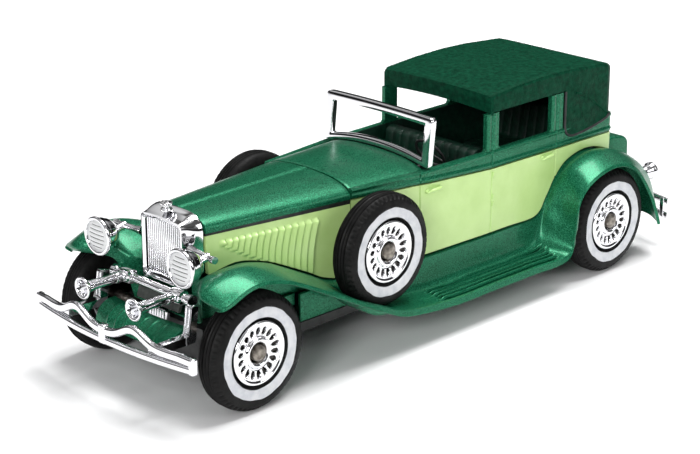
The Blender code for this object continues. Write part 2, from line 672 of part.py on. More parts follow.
def build_headlamps(chrome, lens_material):
    """Bowls, lenses and the bars that carry them from the radiator."""
    for side, label in ((1.0, "left"), (-1.0, "right")):
        origin = (side * LAMP_X, LAMP_FACE_Y, LAMP_Z)
        outside = [(2.85, 0.3), (3.05, 0.0), (3.2, 0.35), (2.95, 0.9), (2.5, 2.3), (1.6, 3.4), (0.0, 3.9)]
        profile = [(0.0, 0.75), (2.8, 0.75)] + outside
        turned(f"headlamp_bowl_{label}", profile, "Y", origin, 24, chrome)
        lens = [(0.0, -0.15), (1.5, -0.05), (2.55, 0.2), (2.55, 0.45), (0.0, 0.45)]
        turned(f"headlamp_lens_{label}", lens, "Y", origin, 24, lens_material)
        bar = [(side * 5.75, -46.9, 23.2), (side * 12.1, -47.4, 23.2)]
        rod(f"headlamp_bar_{label}", bar, 0.6, 10, chrome)


def build_tie_bar(chrome):
    """Bar between the wings with a clamp for each horn."""
    bar = rod("tie_bar", [(-9.4, TIE_BAR_Y, TIE_BAR_Z), (9.4, TIE_BAR_Y, TIE_BAR_Z)], 0.65, 10, chrome)
    for side in (-1.0, 1.0):
        clamp = [(0.0, -1.2), (0.9, -1.1), (1.25, -0.5), (1.25, 0.5), (0.9, 1.1), (0.0, 1.2)]
        origin = (side * HORN_X, TIE_BAR_Y, TIE_BAR_Z)
        combine(bar, turned("clamp", clamp, "X", origin, 12, chrome), "UNION")


def build_horns(chrome):
    """Trumpet horns that point forward from the tie bar, each with an open bell."""
    start = TIE_BAR_Y - 1.6 - HORN_MOUTH_Y
    profile = [(0.0, start), (0.55, start), (0.6, 3.2), (0.75, 1.9), (1.1, 0.8), (1.7, 0.0),
               (1.5, 0.05), (0.9, 0.8), (0.45, 1.6), (0.0, 1.8)]
    for side, label in ((1.0, "left"), (-1.0, "right")):
        turned(f"horn_{label}", profile, "Y", (side * HORN_X, HORN_MOUTH_Y, TIE_BAR_Z + 0.2), 16, chrome)


def build_bumper_irons(chrome):
    """Each iron runs back from the front bumper and turns up to a post."""
    for side, label in ((1.0, "left"), (-1.0, "right")):
        x = side * IRON_X
        outline = [(-58.2, 11.2), (-51.6, 11.2), (-50.9, 15.6), (-51.8, 15.7), (-52.3, 12.1), (-58.2, 12.1)]
        prism(f"bumper_iron_{label}", outline, x - 0.55, x + 0.55, chrome)


def bumper_top(x):
    """Centre height of the upper bar, with one hump on each side."""
    reach = abs(x)
    hump = math.exp(-((reach - 6.8) / 3.1) ** 2)
    return 12.05 + 1.95 * hump - 0.1 * max(0.0, reach - 16.0)


def bumper_bar(name, half_width, centre_line, sweep_y, height, depth, material, count=29):
    """Flat bar across the car; centre_line gives its height and sweep_y its place at each x."""
    rings = []
    for x in np.linspace(-half_width, half_width, count):
        y = sweep_y(x)
        z = centre_line(x)
        rings.append([(x, y - 0.5 * depth, z - 0.5 * height), (x, y - 0.5 * depth, z + 0.5 * height),
                      (x, y + 0.5 * depth, z + 0.5 * height), (x, y + 0.5 * depth, z - 0.5 * height)])
    return loft(name, rings, material)


def build_front_bumper(chrome):
    """Wavy upper bar and straight lower bar, joined at the ends and by a middle clamp."""
    def sweep_y(x):
        return BUMPER_Y + BUMPER_SWEEP * (x / BUMPER_HALF_WIDTH) ** 2

    bumper = bumper_bar("front_bumper", BUMPER_HALF_WIDTH - 0.3, bumper_top, sweep_y, 1.15, 1.0, chrome)
    lower = bumper_bar("lower_bar", BUMPER_HALF_WIDTH - 0.3, lambda x: 10.55, sweep_y, 0.9, 0.9, chrome, 15)
    combine(bumper, lower, "UNION")
    combine(bumper, box("clamp", (-0.8, BUMPER_Y - 0.65, 9.95), (0.8, BUMPER_Y + 0.65, 13.1), chrome), "UNION")
    end_y = sweep_y(BUMPER_HALF_WIDTH)
    for side in (-1.0, 1.0):
        inner, outer = sorted((side * (BUMPER_HALF_WIDTH - 1.2), side * BUMPER_HALF_WIDTH))
        end = box("end", (inner, end_y - 0.62, 9.8), (outer, end_y + 0.58, 12.5), chrome)
        combine(bumper, end, "UNION")


def build_rear_bumper(chrome):
    """Two thin bars joined by end links and carried on two irons."""
    def sweep_y(x):
        return REAR_BUMPER_Y - 2.3 * (x / 17.6) ** 2

    bumper = bumper_bar("rear_bumper", 17.7, lambda x: 8.5, sweep_y, 1.2, 0.6, chrome, 13)
    combine(bumper, bumper_bar("lower_bar", 17.7, lambda x: 5.7, sweep_y, 1.2, 0.6, chrome, 13), "UNION")
    for x in (-16.2, -9.0, 9.0, 16.2):
        link = box("link", (x - 0.5, sweep_y(x) - 0.6, 5.4), (x + 0.5, sweep_y(x) + 0.1, 8.8), chrome)
        combine(bumper, link, "UNION")
    for x in (-9.0, 9.0):
        iron = box("iron", (x - 0.4, 51.5, 5.9), (x + 0.4, sweep_y(x), 6.9), chrome)
        combine(bumper, iron, "UNION")


def build_tail_lamps(chrome, lens_material):
    """Chrome cups that widen rearward, each with a lens in its mouth."""
    cup = [(0.0, 55.0), (0.5, 55.1), (0.9, 55.9), (1.05, 57.2), (1.25, 57.5), (1.25, 57.9), (1.05, 57.9),
           (1.0, 57.5), (0.0, 57.5)]
    lens = [(0.0, 57.8), (0.72, 57.8), (0.72, 58.0), (0.0, 58.15)]
    for side, label in ((1.0, "left"), (-1.0, "right")):
        origin = (side * TAIL_LAMP_X, 0.0, TAIL_LAMP_Z)
        lamp = turned(f"tail_lamp_{label}", cup, "Y", origin, 16, chrome)
        low = (origin[0] - 0.3, 55.7, TAIL_LAMP_Z - 2.4)
        combine(lamp, box("stalk", low, (origin[0] + 0.3, 56.4, TAIL_LAMP_Z - 0.5), chrome), "UNION")
        turned(f"tail_lens_{label}", lens, "Y", origin, 16, lens_material)


def build_apron(material):
    """Ribbed apron between the irons, curving down at its front edge."""
    rows = []
    for y, z in ((-50.2, 12.4), (-51.4, 12.4), (-52.6, 12.0), (-53.6, 11.1), (-54.2, 9.6)):
        rows.append([(x, y - 0.7 * (1.0 - (x / 9.0) ** 2), z) for x in np.linspace(-9.0, 9.0, 9)])
    top = np.array(rows)
    bottom = top - 0.7 * grid_normals(top)
    points = np.concatenate((top.reshape(-1, 3), bottom.reshape(-1, 3)))
    add_object("front_apron", points.tolist(), sheet_faces(top.shape[0], top.shape[1]), material)


def build_baseplate(plate_material, screw_material):
    """Underside plate with a bearing block over each axle, and its two sunk screws."""
    low, high, floor = 4.6, 10.9, 6.2
    outline = [(-47.6, low), (50.0, low), (50.0, floor), (REAR_AXLE_Y + 3.0, floor), (REAR_AXLE_Y + 2.4, high),
               (REAR_AXLE_Y - 2.4, high), (REAR_AXLE_Y - 3.0, floor), (FRONT_AXLE_Y + 3.0, floor),
               (FRONT_AXLE_Y + 2.4, high), (FRONT_AXLE_Y - 2.4, high), (FRONT_AXLE_Y - 2.8, floor)]
    plate = prism("baseplate", outline, -8.5, 8.5, plate_material)
    for y in (FRONT_AXLE_Y, REAR_AXLE_Y):
        bore = [(0.0, -12.0), (AXLE_RADIUS + 0.1, -12.0), (AXLE_RADIUS + 0.1, 12.0), (0.0, 12.0)]
        combine(plate, turned("bore", bore, "X", (0.0, y, AXLE_HEIGHT), 24, plate_material), "DIFFERENCE")
    for y, label in ((-30.0, "front"), (26.0, "rear")):
        hole = [(2.0, low - 2.0), (2.0, low + 0.9), (1.0, low + 0.9), (1.0, floor + 2.0)]
        rings = [[(r * math.cos(a), y + r * math.sin(a), z) for a in np.linspace(0.0, 2.0 * math.pi, 17)[:-1]]
                 for r, z in hole]
        combine(plate, loft("hole", rings, plate_material), "DIFFERENCE")
        screw = [(1.4, low + 0.1), (1.7, low + 0.3), (1.7, low + 0.6), (0.7, low + 0.6), (0.7, 10.6)]
        rings = [[(r * math.cos(a), y + r * math.sin(a), z) for a in np.linspace(0.0, 2.0 * math.pi, 17)[:-1]]
                 for r, z in screw]
        loft(f"base_screw_{label}", rings, screw_material)


def build_wheel(label, origin, side, materials):
    """Tyre and chrome disc; the tyre's outer face is at the origin's x."""
    rubber, chrome = materials
    tyre = [(TYRE_BORE, -4.2), (7.4, -TYRE_WIDTH), (8.8, -4.35), (TYRE_RADIUS, -3.3), (TYRE_RADIUS, -1.3),
            (8.8, -0.25), (7.3, 0.0), (TYRE_BORE + 0.1, -0.1), (TYRE_BORE, -0.3)]
    disc = [(HUB_BORE, -3.9), (HUB_RADIUS, -3.9), (HUB_RADIUS, -0.2), (5.2, 0.0), (4.8, -0.2), (4.6, -0.75),
            (2.6, -0.95), (HUB_BORE, -0.95)]
    for name, profile, segments, material in ((f"tyre_{label}", tyre, TYRE_SEGMENTS, rubber),
                                              (f"wheel_disc_{label}", disc, 24, chrome)):
        turned(name, [(radius, side * along) for radius, along in profile], "X", origin, segments, material)


def pin_head(face_x):
    """Domed head outside the wheel disc, from the shank outward."""
    return [(AXLE_RADIUS, face_x + PIN_HEAD_BASE), (PIN_HEAD_RADIUS, face_x + PIN_HEAD_BASE),
            (PIN_HEAD_RADIUS, face_x - 0.3), (0.8, face_x + 0.1), (0.0, face_x + 0.25)]


def build_axles(steel):
    """Through axles with a domed head at each end, and the spare wheels' pins."""
    outward = pin_head(ROAD_WHEEL_FACE_X)
    inward = [(radius, -along) for radius, along in reversed(outward)]
    for label, y in (("front", FRONT_AXLE_Y), ("rear", REAR_AXLE_Y)):
        turned(f"axle_{label}", inward + outward, "X", (0.0, y, AXLE_HEIGHT), 16, steel)
    for side, label in ((1.0, "left"), (-1.0, "right")):
        pin = [(0.0, 11.6), (AXLE_RADIUS, 11.6)] + pin_head(SPARE_FACE_X)
        profile = [(radius, side * along) for radius, along in pin]
        turned(f"spare_pin_{label}", profile, "X", (0.0, SPARE_Y, SPARE_Z), 16, steel)


def build_wheels(materials):
    """Four road wheels and two spares, each on its own axis."""
    for side, hand in ((1.0, "left"), (-1.0, "right")):
        face = side * ROAD_WHEEL_FACE_X
        build_wheel(f"front_{hand}", (face, FRONT_AXLE_Y, AXLE_HEIGHT), side, materials)
        build_wheel(f"rear_{hand}", (face, REAR_AXLE_Y, AXLE_HEIGHT), side, materials)
        build_wheel(f"spare_{hand}", (side * SPARE_FACE_X, SPARE_Y, SPARE_Z), side, materials)


def main():
    """Build every piece of the car."""
    clear_scene()
    green = make_material("green_paint", GREEN, 0.28, 0.55)
    light_green = make_material("light_green_paint", LIGHT_GREEN, 0.3)
    dark_green = make_material("roof_dark_green", DARK_GREEN, 0.6)
    seat_green = make_material("seat_green", SEAT_GREEN, 0.5)
    black = make_material("black_plastic", BLACK, 0.5)
    rubber = make_material("tyre_rubber", RUBBER_BLACK, 0.75)
    chrome = make_material("chrome", CHROME, 0.08, 1.0)
    steel = make_material("steel", STEEL, 0.35, 1.0)
    lens_white = make_material("lens_white", LENS_WHITE, 0.2)
    lens_red = make_material("lens_red", LENS_RED, 0.2)

    build_wings(green)
    build_lower_body(light_green)
    build_bonnet_side("bonnet_side_left", 1.0, light_green)
    build_bonnet_side("bonnet_side_right", -1.0, light_green)
    build_bonnet_top(green)
    build_upper_body(green)
    build_roof(dark_green)
    build_trunk(green, black)
    build_interior(seat_green, black)
    build_windscreen(chrome)
    build_radiator(chrome, chrome, green)
    build_headlamps(chrome, lens_white)
    build_tie_bar(chrome)
    build_horns(chrome)
    build_bumper_irons(chrome)
    build_front_bumper(chrome)
    build_rear_bumper(chrome)
    build_tail_lamps(chrome, lens_red)
    build_apron(green)
    build_baseplate(black, steel)
    build_axles(steel)
    build_wheels((rubber, chrome))


main()
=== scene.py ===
"""Looks of a small diecast touring car with a closed rear cabin, in metres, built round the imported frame."""

import math

import bmesh
import bpy
import numpy as np
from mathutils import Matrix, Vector


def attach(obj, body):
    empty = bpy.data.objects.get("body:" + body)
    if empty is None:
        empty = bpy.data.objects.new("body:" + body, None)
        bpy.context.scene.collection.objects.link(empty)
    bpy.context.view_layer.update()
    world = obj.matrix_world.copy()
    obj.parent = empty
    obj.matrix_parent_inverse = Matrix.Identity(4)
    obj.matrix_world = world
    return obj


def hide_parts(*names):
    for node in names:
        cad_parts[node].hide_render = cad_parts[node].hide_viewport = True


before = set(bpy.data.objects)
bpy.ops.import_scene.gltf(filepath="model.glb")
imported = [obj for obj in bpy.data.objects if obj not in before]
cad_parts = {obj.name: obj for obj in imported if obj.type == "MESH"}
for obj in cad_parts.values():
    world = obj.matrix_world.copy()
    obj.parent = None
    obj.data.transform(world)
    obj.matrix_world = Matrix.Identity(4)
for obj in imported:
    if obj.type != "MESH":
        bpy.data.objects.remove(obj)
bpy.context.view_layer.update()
MM = 0.001
CAR = "car"

# ---------------------------------------------------------------- main dimensions, in millimetres
AXLE_HEIGHT = 9.47
FRONT_AXLE_Y, REAR_AXLE_Y = -44.8, 39.4
SPARE_Y, SPARE_Z = -15.5, 17.6
BONNET_FRONT_Y, BONNET_REAR_Y = -44.3, -17.4
BODY_REAR_Y = 46.9
BONNET_EDGE_Z = 25.2
BELT_TOP_Z = 26.8
DECK_Z = 11.9
SEAM = 0.3
DOOR_LINES = (-3.1, 13.8, 30.6)
LIP_X = 19.33
WELL = (12.55, 17.72)
TAIL_LAMP_X, TAIL_LAMP_Z = 13.2, 13.5
ROAD_WHEEL_FACE_X, SPARE_FACE_X = 18.94, 17.4
WELL_RADIUS = 9.82
OUTER_RAIL_X = 19.1
HEADLAMP = (9.95, -52.7, 22.7)
HORN_X, IRON_X = 6.15, 10.7
POCKETS = 18
SLAT_PITCH = 0.46
SIDES = ((1.0, "left"), (-1.0, "right"))


# ---------------------------------------------------------------- mesh helpers
def lattice(rows, columns):
    """The two coordinates of a grid, one varying from row to row and the other along each row."""
    return np.meshgrid(rows, columns, indexing="ij")


def full_turn(count):
    """Evenly spaced angles once round, the last one short of the first."""
    return np.linspace(0.0, 2.0 * math.pi, count, endpoint=False)


def quarter_turn(count):
    """Evenly spaced angles from 0 to a quarter turn, both ends included."""
    return np.linspace(0.0, 0.5 * math.pi, count)


def round_x(across, reach, angle):
    """Points at distance reach round the X axis, across being their X."""
    return np.stack((across, reach * np.cos(angle), reach * np.sin(angle)), axis=-1)


def power_wave(wave, exponent):
    """A sine or cosine with its magnitude raised to exponent, which squares off the section it draws."""
    return np.sign(wave) * np.abs(wave) ** exponent


def grid_faces(rows, columns, wrap_rows=False, wrap_columns=False):
    """Quads joining neighbours of a rows x columns grid of points, wrapped round where asked."""
    row, column = lattice(np.arange(rows if wrap_rows else rows - 1),
                          np.arange(columns if wrap_columns else columns - 1))
    down, right = (row + 1) % rows, (column + 1) % columns
    quads = np.stack((row * columns + column, down * columns + column, down * columns + right,
                      row * columns + right), axis=-1)
    return quads.reshape(-1, 4).tolist()


def piece(name, points, faces, material, body=CAR, stands_for=(), sharp=40.0):
    """A closed piece from points in millimetres: seams welded, faces outward, edges over sharp degrees crisp."""
    mesh = bpy.data.meshes.new(name)
    mesh.from_pydata((np.asarray(points, dtype=float).reshape(-1, 3) * MM).tolist(), [], faces)
    work = bmesh.new()
    work.from_mesh(mesh)
    bmesh.ops.remove_doubles(work, verts=work.verts, dist=2e-7)
    bmesh.ops.recalc_face_normals(work, faces=work.faces)
    work.to_mesh(mesh)
    work.free()
    mesh.shade_smooth()
    mesh.set_sharp_from_angle(angle=math.radians(sharp))
    mesh.materials.append(material)
    thing = bpy.data.objects.new(name, mesh)
    bpy.context.scene.collection.objects.link(thing)
    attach(thing, body)
    if stands_for:
        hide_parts(*stands_for)
    return thing


def grid_normals(grid):
    """Unit normals of a point grid: the cross product of its two directions."""
    normal = np.cross(np.gradient(grid, axis=1), np.gradient(grid, axis=0))
    return normal / np.maximum(np.linalg.norm(normal, axis=2, keepdims=True), 1e-9)


def plate(name, top, thickness, material, **rest):
    """A metal sheet: a top grid, the same grid moved along its normals by -thickness, and a rim between."""
    thickness = np.asarray(thickness, dtype=float)
    if thickness.ndim == 1:
        thickness = thickness[:, None, None]
    bottom = top - thickness * grid_normals(top)
    return closed_sheet(name, top, bottom, material, **rest)


def closed_sheet(name, top, bottom, material, **rest):
    """Two grids of one size joined round their four edges into a closed body."""
    rows, columns = top.shape[:2]
    ring = np.concatenate((top, bottom[:, ::-1]), axis=1)
    faces = grid_faces(rows, 2 * columns, wrap_columns=True)
    column = np.arange(columns - 1)
    for start in (0, (rows - 1) * 2 * columns):
        across = 2 * columns - 1 - column
        faces += (np.stack((column, column + 1, across - 1, across), axis=1) + start).tolist()
    return piece(name, ring, faces, material, **rest)


def sweep(name, rings, material, loop=False, **rest):
    """Closed rings joined one after another, with a cap on each end unless the last meets the first."""
    rings = np.asarray(rings, dtype=float)
    count, size = rings.shape[:2]
    faces = grid_faces(count, size, wrap_rows=loop, wrap_columns=True)
    if not loop:
        faces += [list(range(size)), list(range((count - 1) * size, count * size))]
    return piece(name, rings, faces, material, **rest)


def softened(points, radius, steps=5, loop=False):
    """A polyline with each corner swapped for a parabola from radius before the corner to radius after it."""
    points = np.asarray(points, dtype=float)
    before, after = np.roll(points, 1, axis=0), np.roll(points, -1, axis=0)
    if not loop:
        before[0], after[-1] = points[0], points[-1]

    def toward(other):
        gap = np.linalg.norm(other - points, axis=1, keepdims=True)
        return points + (other - points) * np.minimum(radius / np.maximum(gap, 1e-9), 0.48)

    start, end = toward(before), toward(after)
    share = np.linspace(0.0, 1.0, steps)[None, :, None]
    arc = ((1 - share) ** 2 * start[:, None] + 2 * share * (1 - share) * points[:, None]
           + share ** 2 * end[:, None])
    arc = arc.reshape(-1, points.shape[1])
    return arc if loop else np.concatenate((points[:1], arc[steps:-steps], points[-1:]))


def finer(outline, gap):
    """A closed outline resampled at even steps of about gap along its length."""
    closed = np.concatenate((outline, outline[:1]))
    travelled = np.concatenate(([0.0], np.cumsum(np.linalg.norm(np.diff(closed, axis=0), axis=1))))
    place = np.linspace(0.0, travelled[-1], int(travelled[-1] / gap), endpoint=False)
    return np.stack([np.interp(place, travelled, closed[:, axis]) for axis in (0, 1)], axis=1)


def turned(name, profile, axis, centre, material, segments=48, **rest):
    """A profile of (radius, distance) carried once round an axis through centre."""
    profile = np.asarray(profile, dtype=float)
    angle = full_turn(segments)[:, None]
    one, two = profile[:, 0] * np.cos(angle), profile[:, 0] * np.sin(angle)
    along = np.broadcast_to(profile[:, 1], one.shape)
    order = {"X": (along, one, two), "Y": (one, along, two), "Z": (one, two, along)}[axis]
    points = np.stack(order, axis=-1) + np.asarray(centre, dtype=float)
    faces = grid_faces(segments, profile.shape[0], wrap_rows=True)
    return piece(name, points, faces, material, **rest)


def tube(name, path, radius, material, sides=12, up=(0.0, 0.0, 1.0), loop=False, **rest):
    """A round bar along a path: circles square to the path's direction, of one radius or one per point."""
    path = np.asarray(path, dtype=float)
    ahead = np.roll(path, -1, axis=0) - np.roll(path, 1, axis=0) if loop else np.gradient(path, axis=0)
    ahead /= np.linalg.norm(ahead, axis=1, keepdims=True)
    side = np.cross(ahead, np.asarray(up, dtype=float))
    side /= np.linalg.norm(side, axis=1, keepdims=True)
    rise = np.cross(side, ahead)
    angle = full_turn(sides)[None, :, None]
    reach = np.broadcast_to(np.asarray(radius, dtype=float), (len(path),))[:, None, None]
    rings = path[:, None] + reach * (np.cos(angle) * side[:, None] + np.sin(angle) * rise[:, None])
    return sweep(name, rings, material, loop=loop, **rest)


def block(name, low, high, radius, material, **rest):
    """A box with rounded edges: rounded-rectangle sections along X, drawn in by a quarter circle at each end."""
    low, high = np.asarray(low, dtype=float), np.asarray(high, dtype=float)
    turn = quarter_turn(5)
    inset = radius * (1.0 - np.sin(turn))
    offset = radius * (1.0 - np.cos(turn))
    x = np.concatenate((low[0] + offset, high[0] - offset[::-1]))
    shrink = np.concatenate((inset, inset[::-1]))[:, None]
    around = full_turn(24) + math.pi / 24
    quarter = np.stack((np.cos(around), np.sin(around)), axis=1)
    middle, half = 0.5 * (low + high)[1:], 0.5 * (high - low)[1:]
    corner = np.sign(quarter) * (half - radius)
    y = middle[0] + corner[:, 0] + (radius - shrink) * quarter[:, 0]
    z = middle[1] + corner[:, 1] + (radius - shrink) * quarter[:, 1]
    rings = np.stack((np.broadcast_to(x[:, None], y.shape), y, z), axis=-1)
    return sweep(name, rings, material, **rest)


def scaled_rings(outline, centre, stops):
    """A (y, z) outline set at each stop's X and scaled about centre by the stop's factor."""
    return [np.column_stack((np.full(len(outline), x), centre + (outline - centre) * scale)) for x, scale in stops]


def extruded(name, outline, low_x, high_x, material, radius=0.2, **rest):
    """A (y, z) outline with softened corners carried along X, its two ends drawn in a little."""
    outline = softened(outline, radius, 4, loop=True)
    centre = outline.mean(axis=0)
    edge = min(0.25 * radius, 0.2 * (high_x - low_x))
    reach = np.linalg.norm(outline - centre, axis=1).max()
    small = 1.0 - edge / reach
    stops = ((low_x, small), (low_x + edge, 1.0), (high_x - edge, 1.0), (high_x, small))
    rings = scaled_rings(outline, centre, stops)
    return sweep(name, rings, material, **rest)


def catmull(knots, place):
    """Catmull-Rom values at many places, measured in knots, along the first axis of knots."""
    knots, place = np.asarray(knots, dtype=float), np.asarray(place, dtype=float)
    last = len(knots) - 1
    start = np.clip(place.astype(int), 0, last - 1)
    share = (place - start).reshape((-1,) + (1,) * (knots.ndim - 1))
    before, first = knots[np.maximum(start - 1, 0)], knots[start]
    second, after = knots[start + 1], knots[np.minimum(start + 2, last)]
    rise, fall = 0.5 * (second - before), 0.5 * (after - first)
    return ((2 * share ** 3 - 3 * share ** 2 + 1) * first + (share ** 3 - 2 * share ** 2 + share) * rise
            + (3 * share ** 2 - 2 * share ** 3) * second + (share ** 3 - share ** 2) * fall)


def table(rows, value):
    """Straight-line reading of rows of (place, value)."""
    return np.interp(value, [row[0] for row in rows], [row[1] for row in rows])


def bump(distance, width):
    """A smooth hill one high: exp(-(distance / width)^2)."""
    return np.exp(-(distance / width) ** 2)


def step(value, low, high):
    """Smooth rise from 0 at low to 1 at high."""
    share = np.clip((value - low) / (high - low), 0.0, 1.0)
    return share * share * (3.0 - 2.0 * share)


# ---------------------------------------------------------------- finishes
def finish(name, colour, roughness, metallic=0.0, coat=0.0, specular=0.5):
    """A plain finish to build on: returns the material, its node tree and its surface shader."""
    material = bpy.data.materials.new(name)
    material.use_nodes = True
    tree = material.node_tree
    surface = tree.nodes["Principled BSDF"]
    surface.inputs["Base Color"].default_value = (*colour, 1.0)
    surface.inputs["Roughness"].default_value = roughness
    surface.inputs["Metallic"].default_value = metallic
    surface.inputs["Coat Weight"].default_value = coat
    surface.inputs["Coat Roughness"].default_value = 0.06
    surface.inputs["Specular IOR Level"].default_value = specular
    return material, tree, surface


def noise(tree, scale, detail=3.0):
    """Noise over the object's own metres; scale is in cells per metre."""
    place = tree.nodes.new("ShaderNodeTexCoord")
    cloud = tree.nodes.new("ShaderNodeTexNoise")
    cloud.inputs["Scale"].default_value = scale
    cloud.inputs["Detail"].default_value = detail
    tree.links.new(place.outputs["Object"], cloud.inputs["Vector"])
    return cloud.outputs["Fac"]


def ramp(tree, value, stops):
    """A colour ramp fed by value; stops are (place, colour)."""
    scale = tree.nodes.new("ShaderNodeValToRGB")
    band = scale.color_ramp
    band.elements[0].position, band.elements[0].color = stops[0][0], (*stops[0][1], 1.0)
    band.elements[1].position, band.elements[1].color = stops[-1][0], (*stops[-1][1], 1.0)
    for place, colour in stops[1:-1]:
        band.elements.new(place).color = (*colour, 1.0)
    tree.links.new(value, scale.inputs["Fac"])
    return scale.outputs["Color"]


def roughen(tree, surface, height, strength, distance):
    """Bump from a height, distance in metres."""
    relief = tree.nodes.new("ShaderNodeBump")
    relief.inputs["Strength"].default_value = strength
    relief.inputs["Distance"].default_value = distance
    tree.links.new(height, relief.inputs["Height"])
    tree.links.new(relief.outputs["Normal"], surface.inputs["Normal"])


def vary(tree, surface, value, low, high):
    """Roughness that follows value between low and high."""
    spread = tree.nodes.new("ShaderNodeMapRange")
    spread.inputs["From Min"].default_value = 0.35
    spread.inputs["From Max"].default_value = 0.65
    spread.inputs["To Min"].default_value = low
    spread.inputs["To Max"].default_value = high
    tree.links.new(value, spread.inputs["Value"])
    tree.links.new(spread.outputs["Result"], surface.inputs["Roughness"])


def multiplied(tree, one, two):
    """Two colours multiplied."""
    mix = tree.nodes.new("ShaderNodeMix")
    mix.data_type = "RGBA"
    mix.blend_type = "MULTIPLY"
    mix.inputs["Factor"].default_value = 1.0
    tree.links.new(one, mix.inputs["A"])
    tree.links.new(two, mix.inputs["B"])
    return mix.outputs["Result"]


def textured(name, colour, roughness, relief, grain=None, gloss=None, **shader):
    """A finish with noise in its relief (scale, detail, strength, distance) and, where given, in its colour by
    grain (scale, detail, stops) and in its roughness by gloss (scale, detail, low, high)."""
    material, tree, surface = finish(name, colour, roughness, **shader)
    if grain:
        tree.links.new(ramp(tree, noise(tree, *grain[:2]), grain[2]), surface.inputs["Base Color"])
    if gloss:
        vary(tree, surface, noise(tree, *gloss[:2]), *gloss[2:])
    roughen(tree, surface, noise(tree, *relief[:2]), *relief[2:])
    return material, tree, surface


def flake_green():
    """Deep green with fine metal flake under a clear coat, a little orange peel, and thin cloudy shifts of depth."""
    material, tree, surface = finish("metal_flake_green", (0.0, 0.15, 0.06), 0.3, 0.42, 0.1, 0.2)
    fine = noise(tree, 7000.0, 2.0)
    flakes = ramp(tree, fine, ((0.34, (0.002, 0.075, 0.033)), (0.52, (0.007, 0.15, 0.069)),
                               (0.70, (0.045, 0.31, 0.17))))
    cloud = ramp(tree, noise(tree, 160.0), ((0.3, (0.86, 0.86, 0.86)), (0.7, (1.0, 1.0, 1.0))))
    tree.links.new(multiplied(tree, flakes, cloud), surface.inputs["Base Color"])
    vary(tree, surface, fine, 0.24, 0.42)
    roughen(tree, surface, noise(tree, 900.0, 1.0), 0.10, 0.00012)
    return material


def plating_with_painted_shade():
    """Bright plating with painted shade: where the recess attribute marks pockets and gaps, the colour turns dark.
    """
    material, tree, surface = textured("plating_with_painted_shade", (0.9, 0.9, 0.92), 0.1, (900.0, 2.0, 0.15, 0.0002),
                                       gloss=(800.0, 3.0, 0.06, 0.16), metallic=1.0)
    mark = tree.nodes.new("ShaderNodeAttribute")
    mark.attribute_name = "recess"
    # Painted shade: near-black colour where the recess attribute is high.
    colour = ramp(tree, mark.outputs["Fac"], ((0.25, (0.9, 0.9, 0.92)), (0.75, (0.045, 0.042, 0.04))))
    tree.links.new(colour, surface.inputs["Base Color"])
    return material


def moulding(name, tint):
    """Moulded plastic with a fine spark-eroded texture."""
    stops = ((0.3, tuple(0.6 * part for part in tint)), (0.7, tuple(1.6 * part for part in tint)))
    return textured(name, tint, 0.5, (3000.0, 3.0, 0.3, 0.0001), (1100.0, 4.0, stops),
                    (500.0, 3.0, 0.38, 0.6))[0]


def lens_plastic(name, colour):
    """Moulded lens plastic, slightly see-through, with faint flow marks."""
    stops = ((0.3, colour), (0.7, tuple(min(1.0, part * 1.06) for part in colour)))
    material, _, surface = textured(name, colour, 0.12, (900.0, 3.0, 0.08, 0.0001),
                                    (500.0, 3.0, stops), coat=0.3)
    surface.inputs["Transmission Weight"].default_value = 0.25
    return material


GREEN = flake_green()
# Pale apple green enamel, satin, faintly mottled, with a slight orange peel.
APPLE = textured("apple_green_enamel", (0.55, 0.77, 0.29), 0.36, (2400.0, 2.0, 0.12, 0.0001),
                 (260.0, 4.0, ((0.3, (0.50, 0.72, 0.25)), (0.7, (0.57, 0.79, 0.31)))),
                 (1800.0, 3.0, 0.28, 0.42), coat=0.25)[0]
# Dark green leathercloth moulding: pebbled grain, low gloss.
ROOF = textured("grained_dark_green", (0.004, 0.045, 0.024), 0.55, (3000.0, 4.0, 0.6, 0.00016),
                (1300.0, 5.0, ((0.3, (0.0, 0.026, 0.012)), (0.7, (0.003, 0.060, 0.029)))),
                (500.0, 3.0, 0.42, 0.62), specular=0.05)[0]
# Vacuum plating on plastic: mirror bright, slightly wavy, here and there duller.
CHROME = textured("bright_plating", (0.84, 0.84, 0.86), 0.06, (360.0, 1.0, 0.07, 0.00022),
                  gloss=(700.0, 4.0, 0.03, 0.09), metallic=1.0)[0]
# Turned steel of the axle ends: grey, with darker pits.
STEEL = textured("turned_steel", (0.26, 0.24, 0.22), 0.38, (2200.0, 3.0, 0.35, 0.0001),
                 (1500.0, 5.0, ((0.3, (0.10, 0.085, 0.07)), (0.7, (0.36, 0.33, 0.29)))), metallic=1.0)[0]
SHADE_PAINTED_PLATING = plating_with_painted_shade()
# Black tyre plastic with grey dust in its grain.
RUBBER = textured("tyre_black", (0.005, 0.005, 0.005), 0.45, (2600.0, 4.0, 0.3, 0.0001),
                  (900.0, 5.0, ((0.35, (0.0025, 0.0025, 0.0025)), (0.75, (0.009, 0.0088, 0.0085)))),
                  (400.0, 3.0, 0.4, 0.62), specular=0.15)[0]
# Printed pale grey band with faint blue-grey clouding.
WHITEWALL = textured("whitewall_paint", (0.62, 0.63, 0.66), 0.45, (2600.0, 3.0, 0.2, 0.00008),
                     (700.0, 5.0, ((0.28, (0.50, 0.52, 0.56)), (0.6, (0.66, 0.67, 0.69)))))[0]
BLACK = moulding("black_moulding", (0.012, 0.013, 0.013))
GRATING = moulding("grating_grey", (0.05, 0.055, 0.05))
UPHOLSTERY = moulding("upholstery_green", (0.002, 0.022, 0.012))
LENS = lens_plastic("lamp_lens", (0.93, 0.94, 0.95))
TAIL_LENS = lens_plastic("tail_lens", (0.45, 0.012, 0.015))


